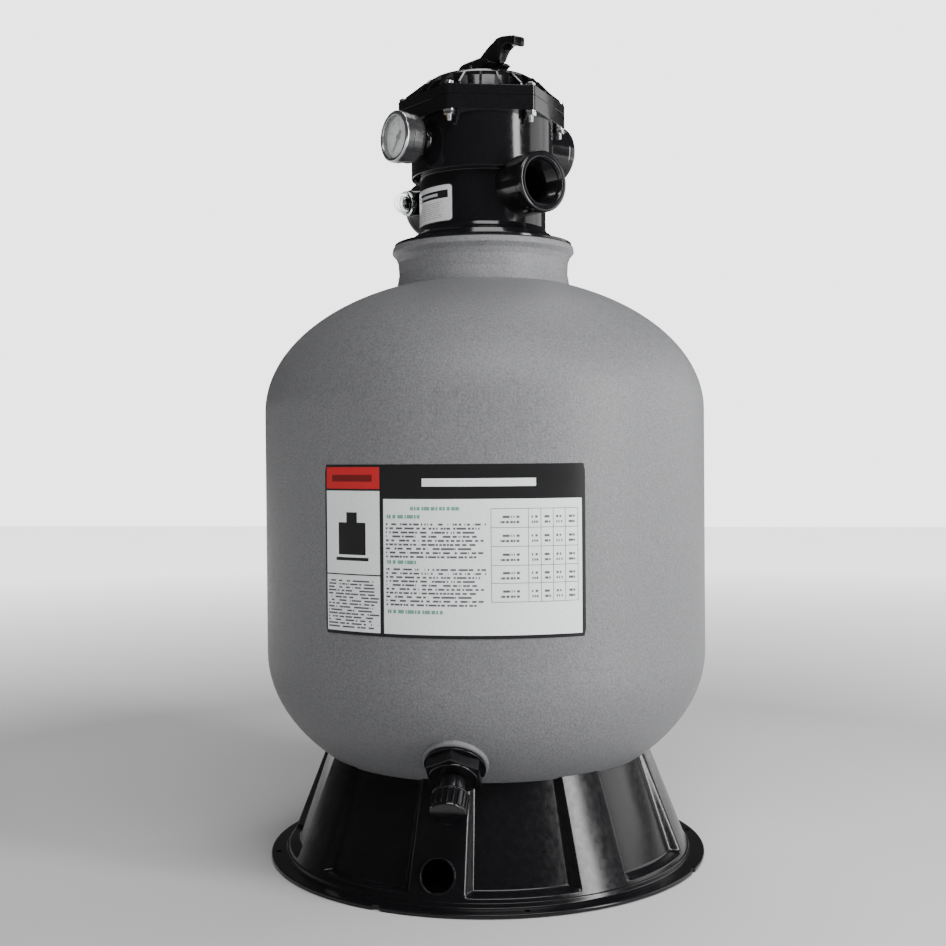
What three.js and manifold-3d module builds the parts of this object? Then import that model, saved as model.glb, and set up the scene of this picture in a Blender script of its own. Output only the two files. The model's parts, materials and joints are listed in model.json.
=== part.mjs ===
// Sand filter tank with a six-way valve on top, for pools and spas.
// Millimetres, +Z up, -Y is the front. The origin is on the floor, at the middle of the footprint.
import * as THREE from 'three';
import { mergeVertices } from 'three/addons/utils/BufferGeometryUtils.js';
import Module from 'manifold-3d';

const wasm = await Module();
wasm.setup();

// ---- driving dimensions ----
const GAP = 0.3; // between pieces that touch
const AXIS_Y = 9.5; // the tank's axis stands behind the middle, because the drain reaches out in front

const TANK_R = 228.5;
const TANK_WALL = 6;
const DOME_Z = 212; // where the round bottom meets the straight side
const DOME_H = 153;
const SHOULDER_Z = 458; // where the straight side meets the shoulder
const SHOULDER_H = 141.5;
const NECK_R = 88.5;
const NECK_BORE_R = 76;
const LIP_R = 95.5;
const LIP_Z = 629.4; // top of the neck's lip
const LIP_H = 6.6;

const LABEL_W = 252;
const LABEL_H = 155;
const LABEL_Z = 250;
const LABEL_T = 0.4;

const FLANGE_R = 226.5;
const FLANGE_T = 4;
const BAND_R = 210.5; // upright band at the skirt's foot
const BAND_Z = 9;
const SKIRT_FOOT_R = 209;
const SKIRT_TOP_R = 169;
const SKIRT_TOP_Z = 110;
const SKIRT_WALL = 4;
const RIB_COUNT = 8; // proud panels round the skirt
const RIB_HALF_ANGLE = 7.15;
const RIB_TURN = -4.8;
const ANCHOR_R = 219;
const ANCHOR_HOLE_R = 3.2;
const HOSE_HOLE_R = 16;
const HOSE_HOLE_Z = 29;

const BODY_FOOT_Z = LIP_Z + GAP; // underside of the valve's round flange
const BODY_LOW_R = 66;
const BODY_HIGH_R = 74.6;
const STEP_Z = 702; // where the valve body widens
const HEX_R = 88.5; // corner radius of both six-sided flanges
const HEX_FLAT_R = 75.8; // just inside the middle of one side
const HEX_TURN = 15; // azimuth of one flat of the six-sided flanges
const BODY_HEX_Z = 757;
const PARTING_Z = 772; // joint between valve body and lid
const LID_HEX_Z = 781.5;
const LID_TOP_Z = 811.2;
const PLATE_Z = 706; // the plate with six windows under the diverter
const PLATE_T = 6;
const WINDOW_COUNT = 6;

const PORT_R = 30.5;
const PORT_BORE_R = 22;
const PORTS = {
  return_port: { azimuth: 47, z: 685, reach: 98 },
  pump_port: { azimuth: 137, z: 741, reach: 105 },
  waste_port: { azimuth: 227, z: 685, reach: 100 },
};
const SIGHT_ALONG = 76; // of the sight glass, along the waste port
const SIGHT_FACE = 42; // of its boss, off the waste port's axis
const SIGHT_AZIMUTH = -43;
const SIGHT_TILT = 6; // degrees below the horizon

const BOLT_CIRCLE_R = 81.7;
const BOLT_R = 3;
const BOLT_COUNT = 6;
const BOLT_END_Z = 746;
const NUT_R = 5.7; // to its corners

const STEM_R = 9;
const STEM_TOP_Z = 807; // where the round stem ends and the flat tongue begins
const PIN_Z = 818;
const PIN_R = 2.5;
const HANDLE_AZIMUTH = 47;
const HUB_HALF_W = 15;

const GAUGE_AZIMUTH = -45;
const GAUGE_Z = 733;
const GAUGE_R = 24.6;
const NEEDLE_REST = -142; // degrees clockwise from the top, the zero of the scale

const PIPE_R = 25; // standpipe
const PIPE_TOP_Z = 696;
const LATERAL_Z = 110;
const LATERAL_R = 9;
const LATERAL_COUNT = 8;
const LATERAL_REACH = 146;

const DRAIN_R = 196; // middle of the drain boss's rim
const DRAIN_Z = 130.5;
const DRAIN_TILT = 42; // degrees below the horizon

// ---- materials ----
function material(color, roughness, metalness = 0, extra = {}) {
  return new THREE.MeshStandardMaterial({ color, roughness, metalness, ...extra });
}
const GREY_SHELL = material(0x7d7e80, 0.55);
const BLACK_GLOSS = material(0x0d0e10, 0.22);
const BLACK_SATIN = material(0x111214, 0.35);
const RUBBER = material(0x17181a, 0.8);
const STEEL = material(0xc8cacc, 0.25, 1);
const SILVER = material(0xb4b6b8, 0.3, 0.9);
const CASE_GREY = material(0x4a4b4d, 0.35, 0.4);
const BRASS = material(0xb08d4a, 0.35, 0.9);
const PAPER = material(0xf2f2f0, 0.5);
const WHITE_PLASTIC = material(0xe4e4e0, 0.5);
const NEEDLE_PAINT = material(0x26282a, 0.5);
const CLEAR = material(0xe8eef0, 0.05, 0, { transparent: true, opacity: 0.35 });

// ---- geometry helpers ----
const radians = THREE.MathUtils.degToRad;
const points = (pairs) => pairs.map(([x, y]) => new THREE.Vector2(x, y));

// One welded, closed geometry with its faces pointing out.
function weld(geometry) {
  const bare = geometry.index ? geometry : mergeVertices(geometry);
  bare.deleteAttribute('normal');
  bare.deleteAttribute('uv');
  const merged = mergeVertices(bare, 1e-4);
  const kept = [];
  const corners = merged.index.array;
  for (let i = 0; i < corners.length; i += 3) {
    const [a, b, c] = corners.slice(i, i + 3);
    if (a !== b && b !== c && c !== a) kept.push(a, b, c);
  }
  if (signedVolume(merged.attributes.position, kept) < 0) kept.reverse();
  merged.setIndex(kept);
  return merged;
}

function signedVolume(position, corners) {
  const [a, b, c] = [new THREE.Vector3(), new THREE.Vector3(), new THREE.Vector3()];
  let total = 0;
  for (let i = 0; i < corners.length; i += 3) {
    a.fromBufferAttribute(position, corners[i]);
    b.fromBufferAttribute(position, corners[i + 1]);
    c.fromBufferAttribute(position, corners[i + 2]);
    total += a.dot(b.cross(c)) / 6;
  }
  return total;
}

function solid(geometry) {
  const g = weld(geometry);
  return new wasm.Manifold(new wasm.Mesh({
    numProp: 3,
    vertProperties: new Float32Array(g.attributes.position.array),
    triVerts: new Uint32Array(g.index.array),
  }));
}

function join(...geometries) {
  return geometries.map(solid).reduce((whole, piece) => whole.add(piece));
}

function cut(whole, ...geometries) {
  return geometries.map(solid).reduce((left, tool) => left.subtract(tool), whole);
}

function toGeometry(manifold) {
  const { vertProperties, triVerts } = manifold.getMesh();
  const geometry = new THREE.BufferGeometry();
  geometry.setAttribute('position', new THREE.BufferAttribute(vertProperties, 3));
  geometry.setIndex(new THREE.BufferAttribute(triVerts, 1));
  return geometry;
}

// A solid of revolution about +Z from [radius, z] pairs.
function turned(profile, segments) {
  return new THREE.LatheGeometry(points(profile), segments).rotateX(Math.PI / 2);
}

function rod(radius, z0, z1, segments) {
  return turned([[0, z0], [radius, z0], [radius, z1], [0, z1]], segments);
}

function ring(inner, outer, z0, z1, segments) {
  return turned([[inner, z0], [outer, z0], [outer, z1], [inner, z1], [inner, z0]], segments);
}

// A round-section ring, such as an O-ring.
function torus(middle, section, z, segments) {
  return new THREE.TorusGeometry(middle, section, 6, segments).translate(0, 0, z);
}

function prism(outline, z0, z1, holes = []) {
  const shape = new THREE.Shape(points(outline));
  shape.holes = holes.map((hole) => new THREE.Path(points(hole)));
  return new THREE.ExtrudeGeometry(shape, { depth: z1 - z0, bevelEnabled: false }).translate(0, 0, z0);
}

function box(x, y, z, cx, cy, cz) {
  return new THREE.BoxGeometry(x, y, z).translate(cx, cy, cz);
}

// Azimuth 0 is the front, -Y, and 90 is +X.
function towards(azimuth, radius = 1) {
  return [radius * Math.sin(radians(azimuth)), -radius * Math.cos(radians(azimuth))];
}

function polygon(sides, cornerRadius, flatAzimuth = 0) {
  const step = 360 / sides;
  return Array.from({ length: sides }, (_, k) => towards(flatAzimuth + (k + 0.5) * step, cornerRadius));
}

// A wedge of a ring between two azimuths, as an outline.
function sector(inner, outer, from, to, steps) {
  const at = (k) => from + ((to - from) * k) / steps;
  const outside = Array.from({ length: steps + 1 }, (_, k) => towards(at(k), outer));
  const inside = Array.from({ length: steps + 1 }, (_, k) => towards(at(steps - k), inner));
  return [...outside, ...inside];
}

// An arc of an ellipse as [radius, z] pairs.
function arc(a, b, z, from, to, steps) {
  return Array.from({ length: steps + 1 }, (_, k) => {
    const t = radians(from + ((to - from) * k) / steps);
    return [a * Math.cos(t), z + b * Math.sin(t)];
  });
}

// A frame whose +Z points outward at the azimuth, tilted down, with +Y up.
// Seen from outside, +X is to the right.
function outward(azimuth, x, y, z, tilt = 0) {
  const [dx, dy] = towards(azimuth);
  const [c, s] = [Math.cos(radians(tilt)), Math.sin(radians(tilt))];
  const out = new THREE.Vector3(dx * c, dy * c, -s);
  const up = new THREE.Vector3(dx * s, dy * s, c);
  const right = new THREE.Vector3().crossVectors(up, out);
  return new THREE.Matrix4().makeBasis(right, up, out).setPosition(x, y, z);
}

function placed(geometry, matrix) {
  return geometry.clone().applyMatrix4(matrix);
}

// ---- scene graph ----
const filter = new THREE.Group();
const assembly = new THREE.Group();
assembly.position.y = AXIS_Y;
filter.add(assembly);

function groupAt(matrix) {
  const group = new THREE.Group();
  group.applyMatrix4(matrix);
  assembly.add(group);
  return group;
}

function add(name, shape, look, parent = assembly) {
  const geometry = shape instanceof THREE.BufferGeometry ? weld(shape) : toGeometry(shape);
  geometry.computeVertexNormals();
  const mesh = new THREE.Mesh(geometry, look);
  mesh.name = name;
  parent.add(mesh);
}

// ---- tank ----
const TANK_SEGMENTS = 36;
const DOME_STEPS = 7;
const drainFrame = outward(0, 0, -DRAIN_R, DRAIN_Z, DRAIN_TILT);
const DRAIN_HOLE_R = 17.4;

function tankOutside() {
  const neckFoot = Math.acos(NECK_R / TANK_R) * THREE.MathUtils.RAD2DEG - 2;
  return turned([
    ...arc(TANK_R, DOME_H, DOME_Z, -90, 0, DOME_STEPS),
    ...arc(TANK_R, SHOULDER_H, SHOULDER_Z, 0, neckFoot, DOME_STEPS),
    [NECK_R + 1, 596],
    [NECK_R, 602],
    [NECK_R + 1, 613],
    [NECK_R + 2, 618],
    [LIP_R, LIP_Z - LIP_H],
    [LIP_R - 1.5, LIP_Z],
    [0, LIP_Z],
  ], TANK_SEGMENTS);
}

function tankInside() {
  const [a, dome, shoulder] = [TANK_R - TANK_WALL, DOME_H - TANK_WALL, SHOULDER_H - TANK_WALL];
  const neckFoot = Math.acos(NECK_BORE_R / a) * THREE.MathUtils.RAD2DEG;
  return turned([
    ...arc(a, dome, DOME_Z, -90, 0, DOME_STEPS),
    ...arc(a, shoulder, SHOULDER_Z, 0, neckFoot, DOME_STEPS),
    [NECK_BORE_R, LIP_Z + 1],
    [0, LIP_Z + 1],
  ], TANK_SEGMENTS);
}

const drainBoss = placed(ring(DRAIN_HOLE_R, 30.5, -14, 0, 32), drainFrame);
const drainPocket = placed(rod(27.5, -3, 1, 32), drainFrame);
const drainHole = placed(rod(DRAIN_HOLE_R, -30, 1, 24), drainFrame);
const tank = cut(join(tankOutside(), drainBoss), tankInside(), drainPocket, drainHole);
add('tank_shell', tank, GREY_SHELL);

const labelHalf = (LABEL_W / TANK_R / 2) * THREE.MathUtils.RAD2DEG;
const labelInner = TANK_R + GAP + 0.1;
const labelOutline = sector(labelInner, labelInner + LABEL_T, -labelHalf, labelHalf, 16);
add('tank_label', prism(labelOutline, LABEL_Z, LABEL_Z + LABEL_H), PAPER);

// ---- base skirt ----
const RIB_WALL_ANGLE = 2.4; // how far a rib's sloping side reaches round
const RECESS_FOOT = 10; // depth of the recesses at the foot and at the top
const RECESS_TOP = 5;
const LEDGE_Z = 15;

// The skirt's outline at a height: proud ribs with sloping sides, and recesses between them.
function skirtOutline(z, recess, inset) {
  const slope = (z - BAND_Z) / (SKIRT_TOP_Z - BAND_Z);
  const face = SKIRT_FOOT_R + (SKIRT_TOP_R - SKIRT_FOOT_R) * slope - inset;
  const pitch = 360 / RIB_COUNT;
  const wallFoot = RIB_HALF_ANGLE + RIB_WALL_ANGLE;
  const corners = [];
  for (let k = 0; k < RIB_COUNT; k += 1) {
    const middle = RIB_TURN + k * pitch;
    for (const a of [-RIB_HALF_ANGLE, 0, RIB_HALF_ANGLE]) corners.push(towards(middle + a, face));
    for (const share of [0, 0.5, 1]) {
      corners.push(towards(middle + wallFoot + (pitch - 2 * wallFoot) * share, face - recess));
    }
  }
  return corners.map(([x, y]) => new THREE.Vector3(x, y, z));
}

// A solid between outlines with the same number of corners, from the lowest to the highest.
function loft(outlines) {
  const count = outlines[0].length;
  const corners = [];
  outlines.slice(1).forEach((upper, level) => {
    const base = level * count;
    for (let k = 0; k < count; k += 1) {
      const next = (k + 1) % count;
      corners.push(base + k, base + next, base + count + next);
      corners.push(base + k, base + count + next, base + count + k);
    }
  });
  const flat = (outline) => outline.map((p) => new THREE.Vector2(p.x, p.y));
  const top = (outlines.length - 1) * count;
  for (const [a, b, c] of THREE.ShapeUtils.triangulateShape(flat(outlines[0]), [])) {
    corners.push(a, c, b);
  }
  for (const [a, b, c] of THREE.ShapeUtils.triangulateShape(flat(outlines.at(-1)), [])) {
    corners.push(top + a, top + b, top + c);
  }
  const geometry = new THREE.BufferGeometry().setFromPoints(outlines.flat());
  geometry.setIndex(corners);
  return geometry;
}

function makeSkirt() {
  const outside = loft([
    skirtOutline(BAND_Z - 1, 0, 0),
    skirtOutline(LEDGE_Z - 2, 0, 0),
    skirtOutline(LEDGE_Z, RECESS_FOOT, 0),
    skirtOutline(SKIRT_TOP_Z, RECESS_TOP, 0),
  ]);
  const inside = loft([
    skirtOutline(-1, 0, SKIRT_WALL + 3),
    skirtOutline(LEDGE_Z - 6, 0, SKIRT_WALL),
    skirtOutline(LEDGE_Z - 4, RECESS_FOOT, SKIRT_WALL),
    skirtOutline(SKIRT_TOP_Z + 1, RECESS_TOP, SKIRT_WALL),
  ]);
  const foot = turned([
    [0, 0], [FLANGE_R, 0], [FLANGE_R, FLANGE_T - 1], [FLANGE_R - 1, FLANGE_T],
    [BAND_R, FLANGE_T], [BAND_R, BAND_Z], [0, BAND_Z],
  ], 48);
  const seat = turned([
    ...arc(TANK_R + GAP, DOME_H + GAP, DOME_Z, -90, 0, DOME_STEPS),
    [0, DOME_Z],
  ], TANK_SEGMENTS);
  const hoseFrame = outward(RIB_TURN, ...towards(RIB_TURN, SKIRT_FOOT_R - 8), HOSE_HOLE_Z, -20);
  const hoseHole = placed(rod(HOSE_HOLE_R, -25, 25, 28), hoseFrame);
  const anchors = [0, 1, 2, 3].map((k) => {
    const [x, y] = towards(RIB_TURN + 22.5 + 90 * k, ANCHOR_R);
    return rod(ANCHOR_HOLE_R, -1, FLANGE_T + 1, 12).translate(x, y, 0);
  });
  const notches = [0, 1, 2, 3].map((k) => {
    const [x, y] = towards(RIB_TURN - 13.5 + 90 * k, FLANGE_R + 1.5);
    return rod(5, -1, FLANGE_T + 1, 12).translate(x, y, 0);
  });
  return cut(join(outside, foot), inside, seat, hoseHole, ...anchors, ...notches);
}
add('base_skirt', makeSkirt(), BLACK_SATIN);

// ---- valve body ----
const VALVE_SEGMENTS = 24;
const PORT_SEGMENTS = 20;
const PIPE_SEGMENTS = 24;
const CHAMBER_R = 60;
const SOCKET_R = PIPE_R + GAP; // of the tube that takes the standpipe
const SOCKET_WALL = 5;
const SPIGOT_Z = 596; // lower end of the valve, inside the neck
const SPIGOT_R = 72;
const CHAMBER_FLOOR_Z = 646;
const hexOutline = polygon(6, HEX_R, HEX_TURN);
const boltAzimuths = Array.from({ length: BOLT_COUNT }, (_, k) => HEX_TURN + 30 + 60 * k);
const boltHoles = (z0, z1) => boltAzimuths.map((azimuth) => {
  return rod(BOLT_R + GAP, z0, z1, 12).translate(...towards(azimuth, BOLT_CIRCLE_R), 0);
});

function portFrame({ azimuth, z }) {
  return outward(azimuth, 0, 0, z);
}

function portTube(port) {
  return placed(turned([
    [0, 30], [PORT_R, 30], [PORT_R, port.reach - 2.5], [PORT_R - 1.5, port.reach], [0, port.reach],
  ], PORT_SEGMENTS), portFrame(port));
}

function portBore(port) {
  return placed(turned([
    [0, 45], [PORT_BORE_R - 2, 45], [PORT_BORE_R - 2, port.reach - 22], [PORT_BORE_R, port.reach - 22],
    [PORT_BORE_R, port.reach - 1.5], [PORT_BORE_R + 1.5, port.reach + 1], [0, port.reach + 1],
  ], PORT_SEGMENTS), portFrame(port));
}

const [sightX, sightY] = towards(PORTS.waste_port.azimuth, SIGHT_ALONG);
const sightFrame = outward(SIGHT_AZIMUTH, sightX, sightY, PORTS.waste_port.z + 4, SIGHT_TILT);
const gaugeFrame = outward(GAUGE_AZIMUTH, 0, 0, GAUGE_Z);

function makeValveBody() {
  const outside = turned([
    [0, SPIGOT_Z], [SPIGOT_R, SPIGOT_Z], [SPIGOT_R, BODY_FOOT_Z], [LIP_R - 2.5, BODY_FOOT_Z],
    [LIP_R - 2.5, BODY_FOOT_Z + 2.5], [LIP_R - 3.5, BODY_FOOT_Z + 3.3],
    [BODY_LOW_R + 8, BODY_FOOT_Z + 4], [BODY_LOW_R + 6, BODY_FOOT_Z + 11],
    [BODY_LOW_R + 1, BODY_FOOT_Z + 13.5], [BODY_LOW_R, BODY_FOOT_Z + 16],
    [BODY_LOW_R, STEP_Z - 7], [BODY_LOW_R + 2.5, STEP_Z - 2.5],
    [BODY_HIGH_R - 1, STEP_Z], [BODY_HIGH_R, STEP_Z + 2], [BODY_HIGH_R, BODY_HEX_Z - 2],
    [HEX_FLAT_R, BODY_HEX_Z], [HEX_FLAT_R, BODY_HEX_Z + 4], [0, BODY_HEX_Z + 4],
  ], VALVE_SEGMENTS);
  const hexFlange = prism(hexOutline, BODY_HEX_Z, PARTING_Z - GAP);
  const gaugeBoss = placed(rod(13, 60, 78, 20), gaugeFrame);
  const sightBoss = placed(rod(14, 5, SIGHT_FACE, 24), sightFrame);
  const whole = join(outside, hexFlange, ...Object.values(PORTS).map(portTube), gaugeBoss, sightBoss);

  const chamber = rod(CHAMBER_R, PLATE_Z + PLATE_T, PARTING_Z + 1, VALVE_SEGMENTS);
  const groove = ring(62.4, 66.6, PARTING_Z - 3.4, PARTING_Z + 1, VALVE_SEGMENTS);
  const socketBore = rod(SOCKET_R, SPIGOT_Z - 1, PIPE_TOP_Z + 1, PIPE_SEGMENTS);
  const rooms = [
    [-15, 105, CHAMBER_FLOOR_Z],
    [105, 165, SPIGOT_Z - 1],
    [165, 285, CHAMBER_FLOOR_Z],
    [285, 345, SPIGOT_Z - 1],
  ].map(([from, to, z]) => {
    const wall = 2.5; // half of a dividing wall, in degrees
    return prism(sector(SOCKET_R + SOCKET_WALL, CHAMBER_R - 2, from + wall, to - wall, 4), z, PLATE_Z);
  });
  const windows = Array.from({ length: WINDOW_COUNT }, (_, k) => {
    const middle = HEX_TURN + k * 60;
    return prism(sector(34, 54, middle - 20, middle + 20, 3), PLATE_Z - 1, PLATE_Z + PLATE_T + 1);
  });
  const toPipe = placed(box(22, 26, 40, 0, 0, 25), outward(PORTS.return_port.azimuth, 0, 0, 672));
  const gaugeHole = placed(rod(6.8, 50, 79, 16), gaugeFrame);
  const sightHole = placed(rod(8, 0, SIGHT_FACE + 1, 16), sightFrame);
  return cut(whole, chamber, groove, socketBore, ...rooms, ...windows, toPipe, gaugeHole, sightHole,
    ...Object.values(PORTS).map(portBore), ...boltHoles(BODY_HEX_Z - 1, PARTING_Z + 1));
}
add('valve_body', makeValveBody(), BLACK_GLOSS);
add('neck_oring', torus(74.1, 1.6, 622, 24), RUBBER);
add('lid_oring', torus(64.5, 1.5, PARTING_Z - 1.85, 24), RUBBER);

const STICKER = { from: -75, to: -19.5, z0: 650.5, z1: 686.5 };
const stickerInner = BODY_LOW_R + GAP;
const stickerOutline = sector(stickerInner, stickerInner + LABEL_T, STICKER.from, STICKER.to, 8);
add('valve_sticker', prism(stickerOutline, STICKER.z0, STICKER.z1), PAPER);

// ---- lid ----
const LID_RIB_COUNT = 24;
const LID_WALL_R = 63;
const RIB_TOP_Z = 800; // upper ends of the lid's ribs

function lidRib(azimuth) {
  const fromFlat = ((((azimuth - HEX_TURN) % 60) + 90) % 60) - 30;
  const reach = (HEX_R * Math.cos(radians(30))) / Math.cos(radians(fromFlat)) - 1.2;
  const outline = [
    [LID_WALL_R - 8, LID_HEX_Z - 1], [reach, LID_HEX_Z - 1], [reach, LID_HEX_Z + 2.5],
    [LID_WALL_R - 1, RIB_TOP_Z], [LID_WALL_R - 8, RIB_TOP_Z],
  ];
  const halfThick = 1.3;
  const rib = prism(outline, -halfThick, halfThick).rotateX(Math.PI / 2);
  return rib.rotateZ(radians(azimuth - 90));
}

function makeLid() {
  const dome = turned([
    [0, PARTING_Z], [LID_WALL_R + 5, PARTING_Z], [LID_WALL_R + 5, LID_HEX_Z], [LID_WALL_R, LID_HEX_Z + 1],
    [LID_WALL_R - 1, 796], [LID_WALL_R - 3.5, 800.5], [52, 804], [40, 807.5], [26, 810.3],
    [24, LID_TOP_Z], [0, LID_TOP_Z],
  ], VALVE_SEGMENTS);
  const flange = prism(hexOutline, PARTING_Z, LID_HEX_Z);
  const ribs = Array.from({ length: LID_RIB_COUNT }, (_, k) => lidRib(7.5 + 15 * k));
  const hollow = turned([
    [16, 796], [16, PARTING_Z - 1], [57, PARTING_Z - 1], [57, 791],
    [50, 797.5], [30, 802.5], [16, 803.5], [16, 796],
  ], 24);
  const below = rod(17, PARTING_Z - 1, 796, 24);
  const bore = rod(STEM_R + GAP, 790, LID_TOP_Z + 1, 24);
  const sealRoom = rod(13.5, 795, 802.7, 24);
  const holes = boltHoles(PARTING_Z - 1, LID_HEX_Z + 1);
  return cut(join(dome, flange, ...ribs), hollow, below, bore, sealRoom, ...holes);
}
add('lid', makeLid(), BLACK_GLOSS);

// Bolts go down through both flanges, with a nut under each.
function makeBolt() {
  const head = prism(polygon(6, 5.5), LID_HEX_Z + GAP, LID_HEX_Z + 3.4);
  const shank = rod(BOLT_R, BOLT_END_Z, LID_HEX_Z + 1, 12);
  return join(head, shank);
}
function makeNut() {
  const hole = polygon(12, BOLT_R + GAP);
  return prism(polygon(6, NUT_R), BODY_HEX_Z - 5.3, BODY_HEX_Z - GAP, [hole]);
}
boltAzimuths.forEach((azimuth, k) => {
  const corner = groupAt(new THREE.Matrix4().setPosition(...towards(azimuth, BOLT_CIRCLE_R), 0));
  add(`lid_bolt_${k + 1}`, makeBolt(), STEEL, corner);
  add(`lid_nut_${k + 1}`, makeNut(), STEEL, corner);
});

// ---- diverter: the rotor that joins the ports, with its stem, spring and seals ----
const ROTOR_Z = PLATE_Z + PLATE_T + 1.9;
const ROTOR_R = 57;
const ROTOR_TOP = 732;
const handleFrame = new THREE.Matrix4().makeRotationZ(radians(HANDLE_AZIMUTH - 90));

function makeDiverter() {
  const disc = turned([
    [0, ROTOR_Z], [ROTOR_R, ROTOR_Z], [ROTOR_R, ROTOR_TOP - 4], [ROTOR_R - 4, ROTOR_TOP],
    [14, ROTOR_TOP], [STEM_R, ROTOR_TOP + 3], [STEM_R, STEM_TOP_Z], [0, STEM_TOP_Z],
  ], 24);
  const tongueFoot = STEM_TOP_Z - 2;
  const tongueBox = box(12, 12, PIN_Z - tongueFoot, 0, 0, (PIN_Z + tongueFoot) / 2);
  const tongue = placed(tongueBox, handleFrame);
  const eye = placed(rod(6, -6, 6, 20).rotateX(Math.PI / 2).translate(0, 0, PIN_Z), handleFrame);
  const open = prism(sector(34, 52, 115, 155, 3), ROTOR_Z - 1, ROTOR_TOP + 1);
  const pocket = prism(sector(33, 52, 175, 275, 6), ROTOR_Z - 1, ROTOR_Z + 9);
  const pinBore = rod(PIN_R + GAP, -8, 8, 16).rotateX(Math.PI / 2).translate(0, 0, PIN_Z);
  const pinHole = placed(pinBore, handleFrame);
  return cut(join(disc, tongue, eye), open, pocket, pinHole);
}
add('diverter', makeDiverter(), BLACK_SATIN);

// Rubber ring, hub and spokes between the rotor and the plate.
function makeSpiderGasket() {
  const [z0, z1] = [PLATE_Z + PLATE_T + GAP, ROTOR_Z - GAP];
  const spokes = Array.from({ length: WINDOW_COUNT / 2 }, (_, k) => {
    return box(3, 2 * 55, z1 - z0, 0, 0, (z0 + z1) / 2).rotateZ(radians(HEX_TURN + 30 + 60 * k));
  });
  const whole = join(ring(54, 57.5, z0, z1, 24), ring(26, 33, z0, z1, 16), ...spokes);
  return cut(whole, rod(26, z0 - 1, z1 + 1, 16));
}
add('spider_gasket', makeSpiderGasket(), RUBBER);

class Helix extends THREE.Curve {
  constructor(radius, z0, z1, turns) {
    super();
    Object.assign(this, { radius, z0, z1, turns });
  }

  getPoint(t, target = new THREE.Vector3()) {
    const angle = t * this.turns * 2 * Math.PI;
    const z = this.z0 + (this.z1 - this.z0) * t;
    return target.set(this.radius * Math.cos(angle), this.radius * Math.sin(angle), z);
  }
}

function circle(radius, sides) {
  const shape = new THREE.Shape();
  for (let k = 0; k < sides; k += 1) {
    const a = (k / sides) * 2 * Math.PI;
    if (k === 0) shape.moveTo(radius, 0);
    else shape.lineTo(radius * Math.cos(a), radius * Math.sin(a));
  }
  return shape;
}

const SPRING_WIRE_R = 1.8;
const spring = new THREE.ExtrudeGeometry(circle(SPRING_WIRE_R, 5), {
  steps: 45,
  extrudePath: new Helix(17.5, ROTOR_TOP + 2.2, 791.5, 5),
});
add('diverter_spring', spring, STEEL);
add('spring_washer', ring(STEM_R + 1, 15.6, 794.2, 795.6 - GAP, 20), WHITE_PLASTIC);
add('stem_oring_1', torus(11.4, 1.6, 797.4, 16), RUBBER);
add('stem_oring_2', torus(11.4, 1.6, 800.9, 16), RUBBER);

// ---- handle ----
add('handle_washer', ring(STEM_R + 1, 22, LID_TOP_Z + GAP, LID_TOP_Z + 1.5, 24), BLACK_SATIN);
const handleGroup = groupAt(handleFrame.clone().setPosition(0, 0, PIN_Z));

// The lever's side view, measured from the pin: +X is outward and +Y is up.
const LEVER_SIDE = [
  [-3, 9], [6, 14.6], [11.5, 17.8], [18, 20.8], [23, 22.4], [28, 25], [31, 25],
  [60, 19.8], [62, 18], [62, 11.4], [60.5, 10.2], [55.5, 11.2], [51, 13.6], [46, 13.6],
  [41, 11], [38, 7.2], [35.5, 2], [34, -1.5], [24, -3.5], [-3, -3.5],
];
const HUB_SIDE = [
  [-21, -5], [19, -5], [24, -3.5], [30, -1], [24, 3], [14, 6], [6, 8.5], [-6, 8.5], [-13, 6.5], [-18.5, 2],
];
// The hub seen along the lever, with rounded shoulders.
const HUB_END = [
  [-HUB_HALF_W, -6], [HUB_HALF_W, -6], [HUB_HALF_W, 2.6], [13, 4.8], [9, 7], [4, 8.6],
  [-4, 8.6], [-9, 7], [-13, 4.8], [-HUB_HALF_W, 2.6],
];
const WEB_HALF_W = 3.2;
const GRIP_HALF_W = 7;
// The grip seen from above: it widens from the web to the tip.
const GRIP_PLAN = [[26, -2], [46, -GRIP_HALF_W - 1], [64, -GRIP_HALF_W - 1], [64, GRIP_HALF_W + 1],
  [46, GRIP_HALF_W + 1], [26, 2]];

function slab(outline, halfWidth) {
  return prism(outline, -halfWidth, halfWidth).rotateX(Math.PI / 2);
}

function makeHandle() {
  const hubLength = prism(HUB_END, -25, 32).rotateX(Math.PI / 2).rotateZ(Math.PI / 2);
  const hub = solid(slab(HUB_SIDE, HUB_HALF_W + 1)).intersect(solid(hubLength));
  const grip = solid(slab(LEVER_SIDE, GRIP_HALF_W)).intersect(solid(prism(GRIP_PLAN, 0, 40)));
  const slot = box(20, 12.8, 16.4, 0, 0, -1.2);
  const pinHole = rod(PIN_R + GAP, -20, 20, 16).rotateX(Math.PI / 2);
  return cut(hub.add(solid(slab(LEVER_SIDE, WEB_HALF_W))).add(grip), slot, pinHole);
}
add('handle', makeHandle(), BLACK_GLOSS, handleGroup);
const handlePin = rod(PIN_R, -HUB_HALF_W + 0.4, HUB_HALF_W - 0.4, 16).rotateX(Math.PI / 2);
add('handle_pin', handlePin, STEEL, handleGroup);

// ---- pressure gauge, built along its own +Z ----
const gauge = groupAt(gaugeFrame);
add('gauge_stem', join(
  rod(6.5, 70, 80, 16),
  prism(polygon(6, 8), 79, 85),
  rod(5, 84, 86.7, 16),
), BRASS, gauge);
add('gauge_case', turned([
  [1.6, 87], [GAUGE_R - 2, 87], [GAUGE_R, 89], [GAUGE_R, 108.6], [GAUGE_R - 1.6, 108.6],
  [GAUGE_R - 1.6, 90], [1.6, 90], [1.6, 87],
], 28), CASE_GREY, gauge);
add('gauge_dial', ring(1.6, 22.4, 103, 104, 28), PAPER, gauge);

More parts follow.
